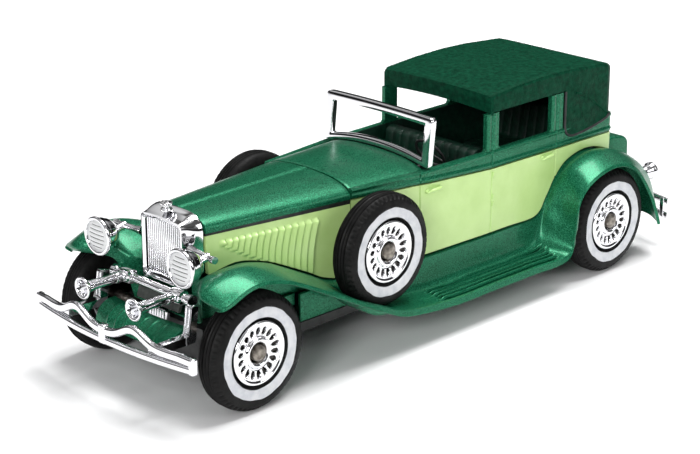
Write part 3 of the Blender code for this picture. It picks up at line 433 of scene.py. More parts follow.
# ---------------------------------------------------------------- wings and running boards
WING_STATIONS = (
    ((9.3, -48.3, 15.6), (10.6, -49.3, 18.2), (14.6, -52.2, 18.8), (17.4, -51.9, 18.2)),
    ((9.0, -48.4, 17.4), (10.8, -49.5, 19.2), (14.8, -52.9, 19.7), (18.8, -52.0, 18.7)),
    ((8.0, -47.4, 18.6), (10.8, -49.0, 20.3), (15.0, -51.8, 21.0), (19.1, -50.5, 19.3)),
    ((7.0, -45.2, 18.2), (10.6, -46.0, 20.8), (15.0, -47.6, 22.2), (19.1, -47.0, 20.6)),
    ((7.6, -39.5, 19.3), (11.0, -41.2, 20.9), (15.0, -43.5, 22.1), (19.1, -43.7, 20.8)),
    ((8.3, -34.9, 18.5), (11.4, -36.6, 19.8), (15.0, -38.8, 20.6), (19.1, -39.4, 19.8)),
    ((8.8, -32.1, 17.5), (11.8, -33.2, 18.2), (15.0, -35.0, 18.6), (19.1, -35.7, 18.2)),
    ((9.6, -26.3, 14.7), (12.0, -27.2, 15.0), (15.0, -28.7, 15.2), (19.1, -29.3, 14.9)),
    ((10.2, -22.8, 12.9), (12.3, -23.4, 12.8), (15.2, -24.3, 12.6), (19.1, -24.8, 12.5)),
    ((10.9, -18.0, 11.9), (12.8, -18.0, 10.2), (15.6, -18.6, 9.9), (19.1, -19.2, 9.9)),
    ((12.0, -12.0, 11.9), (13.1, -12.0, 8.1), (16.0, -12.6, 7.6), (19.1, -13.0, 7.5)),
    ((12.7, -2.0, 11.9), (13.2, -2.0, 7.2), (16.2, -2.0, 6.6), (19.1, -2.0, 6.3)),
    ((12.9, 8.0, 11.9), (13.3, 8.0, 7.2), (16.2, 8.0, 6.6), (19.1, 8.0, 6.3)),
    ((12.9, 18.0, 11.9), (13.3, 18.0, 7.2), (16.2, 18.0, 6.6), (19.1, 18.0, 6.3)),
    ((12.9, 25.6, 12.0), (13.4, 25.0, 8.0), (16.2, 25.8, 7.0), (19.1, 26.9, 6.4)),
    ((12.9, 28.4, 15.0), (13.8, 27.6, 13.2), (16.2, 28.1, 11.8), (19.1, 28.6, 10.0)),
    ((12.9, 30.6, 18.0), (14.0, 29.8, 17.2), (16.2, 29.7, 16.2), (19.1, 29.5, 15.2)),
    ((12.9, 33.8, 20.4), (14.2, 33.0, 20.4), (16.3, 32.6, 19.7), (19.1, 32.2, 18.3)),
    ((12.9, 38.8, 21.4), (14.2, 38.6, 21.8), (16.4, 38.2, 21.4), (19.1, 37.4, 20.0)),
    ((12.8, 43.6, 20.6), (14.2, 43.9, 21.0), (16.4, 43.6, 20.6), (19.1, 42.2, 19.7)),
    ((12.3, 48.2, 18.4), (14.0, 49.0, 18.7), (16.4, 48.6, 18.2), (19.1, 46.4, 17.4)),
    ((12.1, 51.6, 15.6), (14.0, 52.8, 15.5), (16.4, 52.4, 14.8), (19.1, 49.9, 12.9)),
    ((12.1, 53.3, 12.2), (14.0, 54.5, 12.0), (16.4, 54.2, 11.1), (19.1, 51.8, 9.4)),
    ((12.1, 53.6, 9.2), (14.0, 54.7, 8.8), (16.4, 54.6, 8.0), (19.1, 52.8, 7.0)),
    ((12.1, 53.5, 7.2), (14.0, 54.4, 6.7), (16.4, 54.4, 6.4), (19.1, 53.1, 6.2)),
)
LIP_DROP = ((0.0, 0.2), (2.0, 0.5), (8.0, 0.5), (10.0, 1.0), (13.5, 1.0), (15.0, 0.5), (24.0, 0.5))


def wing_surface(places):
    """Catmull-Rom through the stations, then across each section: a grid with columns from body edge to lip."""
    rails = catmull(WING_STATIONS, places)
    edge = rails[:, 3] + np.stack((np.full(len(places), LIP_X - OUTER_RAIL_X), np.zeros(len(places)),
                                   -table(LIP_DROP, places)), axis=1)
    rails = np.concatenate((rails, edge[:, None]), axis=1).transpose(1, 0, 2)
    across = catmull(rails, np.linspace(0.0, 3.0, 96)).transpose(1, 0, 2)
    share = np.linspace(0.2, 1.0, 5)[None, :, None]
    lip = across[:, -1:] * (1.0 - share) + edge[:, None] * share
    return np.concatenate((across, lip), axis=1)


def wing_relief(grid):
    """The spare wheel's well pressed down, and the tread ribs of the running board raised."""
    x, y, z = grid[..., 0], grid[..., 1], grid[..., 2]
    reach = np.clip(1.0 - ((y - SPARE_Y) / WELL_RADIUS) ** 2, 0.0, None)
    floor = SPARE_Z - WELL_RADIUS * np.sqrt(reach)
    inside = step(x, WELL[0] - 0.35, WELL[0] + 0.1) * (1.0 - step(x, WELL[1] - 0.1, WELL[1] + 0.35))
    sink = np.where(reach > 0.0, np.clip(z - floor, 0.0, None), 0.0) * inside
    board = step(y, -4.5, -3.2) * (1.0 - step(y, 24.6, 25.6))
    board = board * step(x, 13.75, 14.0) * (1.0 - step(x, 18.35, 18.6))
    ribs = step(np.cos((x - 14.3) / 0.92 * 2.0 * math.pi), 0.05, 0.85)
    grid[..., 2] = z - sink + (0.72 * ribs - 0.34) * board
    return grid


def build_wings():
    """Each wing runs from the centre line over the deck, up to the body edge and out to a thin lip."""
    places = np.concatenate((np.linspace(0.0, 10.0, 118), np.linspace(10.08, 14.0, 80),
                             np.linspace(14.1, 24.0, 98)))
    outer = wing_relief(wing_surface(places))
    body = outer[:, 0]
    deck_z = table(((0.0, 12.0), (1.0, DECK_Z), (21.5, DECK_Z), (24.0, 7.0)), places)
    step_x = body[:, 0] - table(((2.0, 1.3), (3.2, 0.5), (5.0, 1.5), (17.0, 1.5), (19.0, 0.7)), places)
    deck_y = np.where(places > 3.0, body[:, 1], table(((0.0, -47.3), (3.0, -45.2)), places))
    middle = np.stack((np.zeros(len(places)), deck_y, deck_z), axis=1)
    foot = np.stack((step_x - 0.25, deck_y, deck_z), axis=1)
    riser = np.stack((step_x, body[:, 1], np.maximum(body[:, 2], deck_z + 0.01)), axis=1)
    whole = np.concatenate((middle[:, None], foot[:, None], riser[:, None], outer), axis=1)
    thickness = 0.5 * table(((0.0, 0.35), (1.5, 0.5), (4.0, 1.0)), places)
    for side, label in SIDES:
        mirror = np.array((side, 1.0, 1.0))
        plate(f"wing_{label}", whole * mirror, side * thickness, GREEN, stands_for=("wing_casting",),
              sharp=50.0)
        rail = outer[:, -1] * mirror
        rail[:, 0] -= side * 0.19
        rail[:, 2] += 0.06
        tube(f"wing_bead_{label}", rail[::2], 0.17, GREEN, sides=8, up=(1.0, 0.0, 0.0))
        for number, (x, front, rear, low) in enumerate(((8.75, -27.6, -12.0, 6.8), (7.8, -35.0, -27.9, 9.6))):
            near, far = sorted((side * x, side * (x + 0.6)))
            block(f"splash_plate_{label}_{number}", (near, front, low), (far, rear, 11.6), 0.12, GREEN)


def wing_edge_height(y):
    """Height of the wing where it meets the body, at each y."""
    places = np.linspace(2.5, len(WING_STATIONS) - 1.0, 500)
    rail = catmull(np.array(WING_STATIONS)[:, 0], places)
    return np.interp(y, rail[:, 1], rail[:, 2])


# ---------------------------------------------------------------- bonnet, body and belt
def half_width(y):
    """Half the body's width at the belt."""
    return np.interp(y, (-44.5, -17.2, -1.2, 12.0, 30.0, 46.9), (6.3, 10.2, 12.2, 12.6, 12.6, 12.2))


def belt_edge(y):
    """Height of the seam under the belt."""
    return np.interp(y, (-17.4, -4.0, 14.0, 46.0), (BONNET_EDGE_Z, 24.9, 23.9, 23.5))


def crown(y):
    """Height of the centre line over the bonnet and the scuttle."""
    return np.interp(y, (-44.5, -17.2, -1.0), (27.9, 28.3, 28.2))


def arch(y, half, edge):
    """Arched sections: upright edges, rounded shoulders and a light crease along the centre."""
    share = np.linspace(-0.5 * math.pi, 0.5 * math.pi, 181)
    share = np.sin(share - 0.32 * np.sin(2.0 * share) * np.cos(share))[None, :]
    lift = (1.0 - np.abs(share) ** 3.0) ** 0.55
    y = y[:, None]
    z = edge[:, None] + 0.5 + (crown(y) - edge[:, None] - 0.75) * lift + 0.25 * (1.0 - np.abs(share))
    return np.stack((half[:, None] * share, np.broadcast_to(y, z.shape), z), axis=-1)


def build_bonnet():
    """Bonnet lid with its centre hinge, two side panels with raised louvres, and a painted shadow strip in each gap.
    """
    y = np.linspace(BONNET_FRONT_Y, BONNET_REAR_Y, 120)
    lid = arch(y, half_width(y) + 0.08, np.full(len(y), BONNET_EDGE_Z))
    x = lid[..., 0]
    lid[..., 2] += 0.12 * bump(x, 0.16) - 0.16 * bump(np.abs(x) - 0.42, 0.12)
    lid[..., 2] -= 0.12 * bump(lid[..., 1] - BONNET_REAR_Y, 0.22)
    lid = np.concatenate((lid[:, :1], lid, lid[:, -1:]), axis=1)
    lid[:, 0, 2] = lid[:, -1, 2] = BONNET_EDGE_Z
    under = lid.copy()
    under[..., 2] = np.maximum(BONNET_EDGE_Z, lid[..., 2] - 0.8)
    under[..., 0] *= 0.94
    closed_sheet("bonnet_lid", lid, under, GREEN, stands_for=("bonnet_top",), sharp=50.0)
    for side, label in SIDES:
        build_louvred_panel(side, label)
        build_painted_gap_shadow(side, label)


def build_louvred_panel(side, label):
    """A side panel as a height field: fifteen louvres, each a ramp that rises rearward and drops off sharply."""
    y, row = lattice(np.linspace(BONNET_FRONT_Y, BONNET_REAR_Y, 440), np.linspace(0.0, 1.0, 56))
    low = wing_edge_height(y) + 0.4
    high = BONNET_EDGE_Z - np.interp(y, (-44.0, -17.4), (0.42, 0.8))
    z = low + (high - low) * row
    x = half_width(y) + 0.55 * (1.0 - row)
    lift, dip = np.zeros_like(y), np.zeros_like(y)
    for count in range(15):
        share = count / 14.0
        foot = -41.15 + 15.63 * share ** 1.12
        top_z = 23.5 - 0.2 * share
        low_z = 22.6 - 8.1 * share
        rise = np.clip((z - low_z) / (top_z - low_z), 0.0, 1.0)
        centre = foot + 1.7 * share ** 0.5 * rise ** 2.0
        gap = y - centre
        ramp_up = np.where(gap < 0.0, np.clip(1.0 + gap / 1.02, 0.0, 1.0), np.clip(1.0 - gap / 0.1, 0.0, 1.0))
        window = step(z, low_z - 0.2, low_z + 0.4) * (1.0 - step(z, top_z - 0.35, top_z + 0.2))
        lift = np.maximum(lift, 0.62 * ramp_up * window)
        dip = np.maximum(dip, 0.26 * bump(gap - 0.17, 0.09) * window)
    outer = np.stack((side * (x + lift - dip), y, z), axis=-1)
    inner = np.stack((side * (x - 0.8), y, z), axis=-1)
    closed_sheet(f"louvred_panel_{label}", outer, inner, APPLE, stands_for=(f"bonnet_side_{label}",),
                 sharp=60.0)


def build_painted_gap_shadow(side, label):
    """Black strip as painted shadow in the gap between the lid's hem and the side panel."""
    y, row = lattice(np.linspace(BONNET_FRONT_Y, BONNET_REAR_Y, 60), np.linspace(0.0, 1.0, 5))
    low = BONNET_EDGE_Z - np.interp(y, (-44.0, -17.4), (0.5, 0.95))
    z = low + (BONNET_EDGE_Z - 0.01 - low) * row
    outer = np.stack((side * (half_width(y) - 0.06 + 0.03 * row), y, z), axis=-1)
    inner = outer - np.array((side * 0.5, 0.0, 0.0))
    # Painted shadow: a black sheet where the gap holds only shade.
    closed_sheet(f"painted_gap_shadow_{label}", outer, inner, BLACK)


def body_path():
    """Plan of the body from the front left, round the back, to the front right, finer at the door lines."""
    y = np.linspace(BONNET_REAR_Y + SEAM, BODY_REAR_Y - 1.2, 200)
    y = np.sort(np.concatenate([y] + [line + np.linspace(-0.34, 0.34, 15) for line in DOOR_LINES]))
    side = np.stack((half_width(y), y), axis=1)
    half = half_width(BODY_REAR_Y)
    turn = quarter_turn(9)[1:, None]
    round_part = 1.2 * np.concatenate((np.cos(turn), np.sin(turn)), axis=1)
    corner = np.array((half - 1.2, BODY_REAR_Y - 1.2)) + round_part
    back = np.linspace(half - 1.2, 0.0, 14)[1:]
    left = np.concatenate((side, corner, np.stack((back, np.full(len(back), BODY_REAR_Y)), axis=1)))
    return np.concatenate((left, (left * np.array((-1.0, 1.0)))[-2::-1]))


def wall(path, low, high, rows, thickness, lift=None):
    """An upright wall over a plan path, from low to high at each point, as outer and inner grids."""
    row = np.linspace(0.0, 1.0, rows)[None, :]
    z = low[:, None] + (high - low)[:, None] * row
    ahead = np.gradient(path, axis=0)
    out = np.stack((ahead[:, 1], -ahead[:, 0]), axis=1)
    out /= np.linalg.norm(out, axis=1, keepdims=True)
    y = np.broadcast_to(path[:, 1][:, None], z.shape)
    x = np.broadcast_to(path[:, 0][:, None], z.shape)
    relief = np.zeros(z.shape) if lift is None else lift(x, y, z)
    outer = np.stack((x + out[:, :1] * relief, y + out[:, 1:] * relief, z), axis=-1)
    inner = np.stack((x - out[:, :1] * thickness, y - out[:, 1:] * thickness, z), axis=-1)
    return outer, inner


def door_relief(x, y, z):
    """Fine grooves at the doors' edges, with a soft raised hem beside each."""
    lift = np.zeros(z.shape)
    for line in DOOR_LINES:
        lift += 0.03 * bump(y - line - 0.28, 0.16) - 0.17 * bump(y - line, 0.075)
    return np.where(y < BODY_REAR_Y - 1.5, lift, 0.0)


def belt_relief(x, y, z):
    """Door grooves, a half-round moulding along the seam and a second one under the window sill."""
    lift = door_relief(x, y, z)
    lift = lift + 0.16 * bump(z - belt_edge(y) - 0.42, 0.30) + 0.14 * bump(z - BELT_TOP_Z + 0.35, 0.26)
    return lift - 0.05 * bump(z - belt_edge(y) - 1.0, 0.16)


def build_body():
    """Light green sides with doors, handles and hinges, and the green belt above them."""
    path = body_path()
    y = path[:, 1]
    outer, inner = wall(path, wing_edge_height(y) + 0.42, belt_edge(y) - 0.30, 26, 0.9, door_relief)
    closed_sheet("body_sides", outer, inner, APPLE, stands_for=("lower_body",), sharp=50.0)
    outer, inner = wall(path, belt_edge(y), np.full(len(y), BELT_TOP_Z), 30, 0.95, belt_relief)
    closed_sheet("belt", outer, inner, GREEN, stands_for=("upper_body",), sharp=50.0)
    for side, label in SIDES:
        build_door_fittings(side, label)
        build_posts(side, label)


def build_lining():
    """Dark moulded lining inside the sides and the back, with a raised sill rail and door cards."""
    path = body_path()
    path = path[path[:, 1] > -1.0]
    y = path[:, 1]

    def cards(x, y, z):
        return -0.12 * bump(z - 25.9, 0.25) - 0.10 * step(np.abs(((y + 3.1) % 16.85) - 8.4), 7.4, 7.7)

    low, high = np.full(len(y), 13.4), np.full(len(y), BELT_TOP_Z - 0.05)
    outer, inner = wall(path * 0.918, low, high, 30, 0.16, cards)
    closed_sheet("cabin_lining", outer, inner, UPHOLSTERY, sharp=50.0)


def build_door_fittings(side, label):
    """Two lever handles and three hinge knuckles, moulded in the body's colour."""
    for number, (front, rear, z) in enumerate(((-1.85, 1.4, 23.35), (26.75, 29.6, 22.75))):
        y = np.linspace(front, rear, 24)
        share = (y - front) / (rear - front)
        x = half_width(y) + 0.28 + 0.50 * np.sin(math.pi * np.clip(share * 1.05, 0, 1)) ** 0.5
        height = z - 0.30 * step(-share, -0.28, 0.0) + 0.12 * bump(share - 0.55, 0.3)
        radius = 0.18 + 0.14 * step(share, 0.0, 0.35) - 0.06 * step(share, 0.8, 1.0)
        tube(f"door_handle_{label}_{number}", np.stack((side * x, y, height), axis=1), radius, APPLE)
        centre = (side * (float(half_width(front + 0.2)) - 0.1), front + 0.25, z - 0.12)
        knob = softened([(0.0, 0.0), (0.42, 0.0), (0.42, 0.3), (0.25, 0.42), (0.0, 0.45)], 0.12)
        turned(f"handle_boss_{label}_{number}", knob * np.array((1.0, side)), "X", centre, APPLE, 20)
    for number, z in enumerate((22.65, 18.7, 17.4)):
        knuckle = softened([(0.0, -0.42), (0.24, -0.42), (0.24, 0.42), (0.0, 0.42)], 0.1)
        centre = (side * (half_width(14.15) + 0.06), 14.15, z)
        turned(f"door_hinge_{label}_{number}", knuckle, "Z", centre, APPLE, 16)


def build_posts(side, label):
    """Roof posts with a rounded face, a door groove and a raised stop strip."""
    for number, (front, rear, groove) in enumerate(((12.6, 15.7, 13.8), (29.4, 32.6, 30.6))):
        y, z = lattice(np.linspace(front, rear, 60), np.linspace(BELT_TOP_Z - 0.5, 33.32, 40))
        edge = np.minimum(y - front, rear - y)
        round_off = 0.3 * (1.0 - np.sqrt(np.clip(1.0 - (1.0 - np.clip(edge / 0.3, 0, 1)) ** 2, 0, 1)))
        x = 12.48 - round_off - 0.20 * bump(y - groove, 0.10) + 0.07 * bump(y - groove - 0.75, 0.22)
        x = x + 0.07 * bump(y - groove + 0.6, 0.2)
        outer = np.stack((side * x, y, z), axis=-1)
        inner = np.stack((np.full(x.shape, side * 11.55), y, z), axis=-1)
        closed_sheet(f"roof_post_{label}_{number}", outer, inner, GREEN, sharp=55.0)
        for end, swing, where in ((front, -1.0, "front"), (rear, 1.0, "rear")):
            flare = np.linspace(0.0, 1.0, 12)
            curve_y = end + swing * (0.9 * (1.0 - flare) ** 2.2) - swing * 0.06
            curve_z = BELT_TOP_Z - 0.12 + 1.0 * flare
            near, inside = side * 11.7, end - swing * 0.3
            rings = [[(near, place, height), (near, inside, height), (side * far, inside, height),
                      (side * far, place, height)]
                     for place, height, far in zip(curve_y, curve_z, 12.35 - 0.1 * flare)]
            sweep(f"post_flare_{label}_{number}_{where}", rings, GREEN)


def build_scuttle():
    """Scuttle between the bonnet and the windscreen, dished a little at its rear edge."""
    y = np.linspace(BONNET_REAR_Y + SEAM + 0.05, -1.6, 90)
    lid = arch(y, half_width(y) - 0.05, belt_edge(y) + 0.2)
    lid[..., 2] -= 0.12 * bump(lid[..., 1] - BONNET_REAR_Y - SEAM, 0.2)
    under = lid.copy()
    under[..., 2] = np.maximum(belt_edge(lid[..., 1]), lid[..., 2] - 0.9)
    under[..., 0] *= 0.95
    closed_sheet("scuttle", lid, under, GREEN, sharp=50.0)


# ---------------------------------------------------------------- roof
ROOF_EDGE_Z = ((13.35, 36.4), (14.2, 36.75), (21.3, 37.3), (28.0, 37.5), (34.0, 37.35), (42.9, 36.7),
               (45.1, 36.1), (46.2, 35.3))
QUARTER_OUTLINE = ((32.8, 27.1), (33.2, 25.9), (34.2, 25.2), (35.7, 25.0), (39.9, 25.4), (44.2, 26.3),
                   (45.3, 27.1))
ROOF_FRONT_Y, ROOF_REAR_Y = 13.35, 46.2
EDGE_ROLL = 0.75


def roof_half(y):
    """Half the roof's width, drawn in round the back corners."""
    return table(((13.35, 12.5), (13.7, 12.7), (44.4, 12.6), (45.4, 12.25), (45.9, 11.8), (46.2, 11.2)), y)


def roof_foot(y):
    """Lower edge of the roof's side: level over the windows, then round the blind quarter."""
    over_window = np.where(y < 13.9, 33.55 - 0.5 * step(y, 12.0, 13.9), 33.58)
    quarter = catmull(QUARTER_OUTLINE, np.linspace(0.0, 6.0, 80))
    behind = np.where(y > 45.3, 27.12, np.interp(y, quarter[:, 0], quarter[:, 1]))
    return np.where(y < 32.8, over_window, behind)


def build_roof():
    """Roof skin swept rearward: side, rolled edge and cambered top, with the seam piping of the quarters."""
    y = np.unique(np.concatenate((np.linspace(ROOF_FRONT_Y, 32.78, 90), np.linspace(32.82, 36.5, 40),
                                  np.linspace(36.6, ROOF_REAR_Y, 60))))
    edge = table(ROOF_EDGE_Z, y)[:, None]
    half = roof_half(y)[:, None]
    foot = roof_foot(y)[:, None]
    side_share = np.linspace(0.0, 1.0, 40)[None, :]
    roll = quarter_turn(9)[None, 1:]
    side_z = foot + (edge - EDGE_ROLL - foot) * side_share
    side_x = np.broadcast_to(half, side_z.shape)
    roll_z = edge - EDGE_ROLL + EDGE_ROLL * np.sin(roll)
    roll_x = half - EDGE_ROLL + EDGE_ROLL * np.cos(roll)
    across = np.linspace(1.0, 0.0, 40)[None, 1:]
    camber = table(((ROOF_FRONT_Y, 0.25), (30.0, 0.2), (ROOF_REAR_Y, 0.0)), y)[:, None]
    top_x = (half - EDGE_ROLL) * across
    top_z = edge + camber * (1.0 - across ** 2)
    x = np.concatenate((side_x, roll_x, top_x), axis=1)
    z = np.concatenate((side_z, roll_z, top_z), axis=1)
    x = np.concatenate((x, -x[:, -2::-1]), axis=1)
    z = np.concatenate((z, z[:, -2::-1]), axis=1)
    skin = np.stack((x, np.broadcast_to(y[:, None], x.shape), z), axis=-1)
    inner = skin.copy()
    inner[..., 0] *= (12.0 / 12.75)
    inner[..., 2] = np.minimum(inner[..., 2], edge - 0.85)
    closed_sheet("roof_skin", skin, inner, ROOF, stands_for=("roof",), sharp=55.0)
    x, share = lattice(np.linspace(-12.3, 12.3, 80), np.linspace(0.0, 1.0, 12))
    bow = 0.25 * (1.0 - (x / 12.3) ** 2)
    low, high = 33.4 + bow * 2.2, 36.0 + bow
    front = np.stack((x, 13.42 - 0.08 * np.sin(math.pi * share), low + (high - low) * share), axis=-1)
    back = front + np.array((0.0, 1.1, 0.0))
    closed_sheet("roof_header", front, back, ROOF, sharp=50.0)
    x, z = lattice(np.linspace(-11.6, 11.6, 60), np.linspace(27.15, 35.4, 40))
    pane = 0.22 * step(np.maximum(np.abs(x) - 4.2, np.abs(z - 31.6) - 1.7), -0.2, 0.15)
    rear = np.stack((x, 45.95 + pane, z), axis=-1)
    closed_sheet("roof_back", rear, rear - np.array((0.0, 0.9, 0.0)), ROOF, sharp=50.0)
    quarter = catmull(QUARTER_OUTLINE, np.linspace(0.0, 6.0, 60))
    for side, label in SIDES:
        run = np.concatenate((np.stack((np.full(14, 32.8), np.linspace(33.4, 27.4, 14)), axis=1), quarter))
        path = np.column_stack((np.full(len(run), side * 12.58), run))
        tube(f"quarter_piping_{label}", path, 0.24, BLACK, sides=10, up=(1.0, 0.0, 0.0))
        share = np.linspace(0.0, 1.0, 30)
        fold = np.column_stack((np.full(30, side * 12.60), 35.6 + 9.0 * share, 32.6 - 5.4 * share ** 1.35))
        tube(f"quarter_crease_{label}", fold, 0.22, ROOF, sides=8, up=(1.0, 0.0, 0.0))
        rim_y = np.linspace(14.0, 45.0, 80)
        rim = np.column_stack((side * (roof_half(rim_y) - 0.20), rim_y, table(ROOF_EDGE_Z, rim_y) - 0.24))
        tube(f"roof_edge_seam_{label}", rim, 0.10, ROOF, sides=8)


# ---------------------------------------------------------------- wheels
def build_wheel(label, body, side, face_x, centre_y, centre_z):
    """Tyre with ribbed tread, painted band, pressed disc and steel axle end, all turned about X."""
    centre = np.array((side * face_x, centre_y, centre_z))
    shape = [(5.25, -0.9), (5.55, -0.42), (5.75, -0.12), (6.2, 0.0), (7.3, 0.0), (7.6, -0.02), (8.6, -0.2),
             (9.1, -0.75), (9.42, -1.2), (9.44, -3.3), (8.9, -4.1), (7.6, -4.6), (6.1, -4.45), (5.25, -4.2)]
    profile = finer(softened(shape, 0.45, 6, loop=True), 0.155)
    angle = full_turn(348)[:, None]
    radius, along = profile[:, 0][None, :], profile[:, 1][None, :]
    tread = step(radius, 9.2, 9.3)
    grooves = sum(bump(along + place, 0.15) for place in (1.35, 1.95, 2.55, 3.15))
    lugs = step(np.sin(angle * 58.0), 0.0, 0.4) * bump(along + 0.55, 0.26) * step(radius, 8.5, 8.7)
    hoops = sum(bump(radius - place, 0.07) for place in (7.65, 8.05)) * step(along, -0.5, -0.2)
    reach = radius - 0.40 * grooves * tread - 0.26 * lugs
    across = np.broadcast_to(along + 0.06 * hoops, reach.shape)
    points = round_x(side * across, reach, angle) + centre
    faces = grid_faces(348, profile.shape[0], wrap_rows=True, wrap_columns=True)
    piece(f"tyre_moulding_{label}", points, faces, RUBBER, body=body, stands_for=(f"tyre_{label}",),
          sharp=50.0)

    angle = full_turn(160)[:, None]
    wobble = (0.045 * np.sin(7 * angle + centre_y) + 0.03 * np.sin(13 * angle + 2.0 * side)
              + 0.02 * np.sin(23 * angle))
    share = np.linspace(0.0, 1.0, 10)[None, :]
    band_in, band_out = 5.72 - 0.3 * wobble, 7.32 + wobble
    radius = band_in + (band_out - band_in) * share
    lift = 0.015 + 0.03 * np.sqrt(np.clip(1.0 - (2.0 * share - 1.0) ** 6, 0, 1))
    lift = lift - 0.16 * (1 - step(radius, 5.6, 6.0))
    top = round_x(side * lift, radius, angle) + centre
    low = top - np.array((side * 0.08, 0.0, 0.0))
    ring = np.concatenate((top, low[:, ::-1]), axis=1)
    faces = grid_faces(160, 20, wrap_rows=True, wrap_columns=True)
    piece(f"whitewall_{label}", ring, faces, WHITEWALL, body=body, sharp=60.0)

    build_disc(label, body, side, centre)
    head = softened([(0.0, -1.1), (1.28, -1.1), (1.28, -0.55), (1.15, -0.25), (0.75, 0.05), (0.0, 0.2)], 0.18)
    turned(f"axle_end_{label}", head * np.array((1.0, side)), "X", centre, STEEL, 32)


def paint_recess_shade(thing, shade):
    """Stores painted shade, shade(points in millimetres), on the piece's points: 1 is deep and painted dark, 0 is
    open and bright.
    """
    place = np.empty(3 * len(thing.data.vertices))
    thing.data.vertices.foreach_get("co", place)
    values = shade(place.reshape(-1, 3) / MM)
    thing.data.attributes.new("recess", "FLOAT", "POINT").data.foreach_set("value", values)


def pocket_depth(radius, angle):
    """Eighteen pear-shaped pockets in a ring: one inside each, falling to nothing at its edge."""
    turn = (angle * POCKETS / (2.0 * math.pi)) % 1.0 - 0.5
    across = turn * 2.0 * math.pi * radius / POCKETS / (0.36 + 0.10 * (radius - 3.0))
    along = (radius - 3.5) / 0.72
    return 1.0 - step(np.sqrt(across ** 2 + along ** 2), 0.72, 1.05)


def build_disc(label, body, side, centre):
    """Pressed disc: smooth outer rim, a ring of pockets between ribs, a stepped hub, a recess at the axle; pockets
    and axle recess get painted shade.
    """
    shape = [(0.95, -1.0), (1.5, -0.95), (1.62, -0.55), (2.0, -0.22), (2.35, -0.30), (2.6, -0.75),
             (3.4, -0.62), (4.15, -0.52), (4.45, -0.30), (4.85, -0.12), (5.15, -0.30), (5.22, -0.95),
             (5.22, -3.9), (0.95, -3.9)]
    profile = softened(shape, 0.22, 7, loop=True)
    inner = np.column_stack((np.linspace(2.72, 4.4, 30), np.linspace(-0.72, -0.36, 30)))
    outward = (profile[:, 1] > -1.2) & (profile[:, 0] > 2.72) & (profile[:, 0] < 4.4)
    first = int(np.argmax(outward))
    profile = np.concatenate((profile[:first], inner, profile[first + int(outward.sum()):]))
    angle = full_turn(240)[:, None]
    radius, along = profile[:, 0][None, :], profile[:, 1][None, :]
    open_side = along > -1.2
    pocket = pocket_depth(radius, angle) * open_side
    lift = -0.55 * pocket + 0.10 * bump(pocket - 0.12, 0.1) * open_side * step(radius, 2.75, 2.9)
    points = round_x(side * (along + lift), radius, angle) + centre
    faces = grid_faces(240, profile.shape[0], wrap_rows=True, wrap_columns=True)
    disc = piece(f"pressed_disc_{label}", points, faces, SHADE_PAINTED_PLATING, body=body, stands_for=(f"wheel_disc_{label}",),
                 sharp=55.0)

    # Painted shade: dark in the pockets and in a ring round the axle end.
    def shade(place):
        place = place - centre
        radius = np.hypot(place[:, 1], place[:, 2])
        pockets = pocket_depth(radius, np.arctan2(place[:, 2], place[:, 1])) * (side * place[:, 0] > -1.8)
        return np.maximum(pockets, 1.0 - step(radius, 1.42, 1.6))

    paint_recess_shade(disc, shade)


def build_wheels():
    """Four road wheels and two spares."""
    for side, hand in SIDES:
        for place, face_x, y, z in (("front", ROAD_WHEEL_FACE_X, FRONT_AXLE_Y, AXLE_HEIGHT),
                                    ("rear", ROAD_WHEEL_FACE_X, REAR_AXLE_Y, AXLE_HEIGHT),
                                    ("spare", SPARE_FACE_X, SPARE_Y, SPARE_Z)):
            build_wheel(f"{place}_{hand}", f"wheel_{place}_{hand}", side, face_x, y, z)


# ---------------------------------------------------------------- radiator, lamps, horns
def rounded_frame(half, low, high, radius, bow, low_bow=None):
    """Points round an upright frame: round corners, the rails bowed up by bow and low_bow at the middle."""
    turn = quarter_turn(10)
    parts = []
    for x, z, start in ((half, high, 0.0), (-half, high, 0.5), (-half, low, 1.0), (half, low, 1.5)):
        angle = turn + start * math.pi
        parts.append(np.stack((x - math.copysign(radius, x) + radius * np.cos(angle),
                               (z - radius if z == high else z + radius) + radius * np.sin(angle)), axis=1))
        if start in (0.0, 1.0):
            run = np.linspace(0.8, -0.8, 15)[:, None] * (half - radius) * (1.0 if start == 0.0 else -1.0)
            parts.append(np.concatenate((run, np.full(run.shape, z)), axis=1))
    points = np.concatenate(parts)
    lift = np.where(points[:, 1] > 0.5 * (low + high), bow, bow if low_bow is None else low_bow)
    points[:, 1] += lift * (1.0 - (points[:, 0] / half) ** 2)
    return points


def build_windscreen():
    """Plated frame of square rounded section, leaning back a little; its lower rail follows the scuttle."""
    outer = rounded_frame(12.35, 26.95, 35.45, 0.7, 0.2, 1.35)
    inner = rounded_frame(10.6, 28.35, 34.0, 0.3, 0.2, 1.1)
    middle, reach = 0.5 * (outer + inner), 0.5 * (outer - inner)
    angle = full_turn(16)
    across = power_wave(np.cos(angle), 0.3)
    deep = 0.6 * power_wave(np.sin(angle), 0.35)
    flat = middle[:, None] + reach[:, None] * across[None, :, None]
    y = -0.95 + 0.1 * (flat[..., 1] - 28.0) + deep[None, :]
    rings = np.stack((flat[..., 0], y, flat[..., 1]), axis=-1)
    sweep("windscreen_frame_plated", rings, CHROME, loop=True, stands_for=("windscreen_frame",))


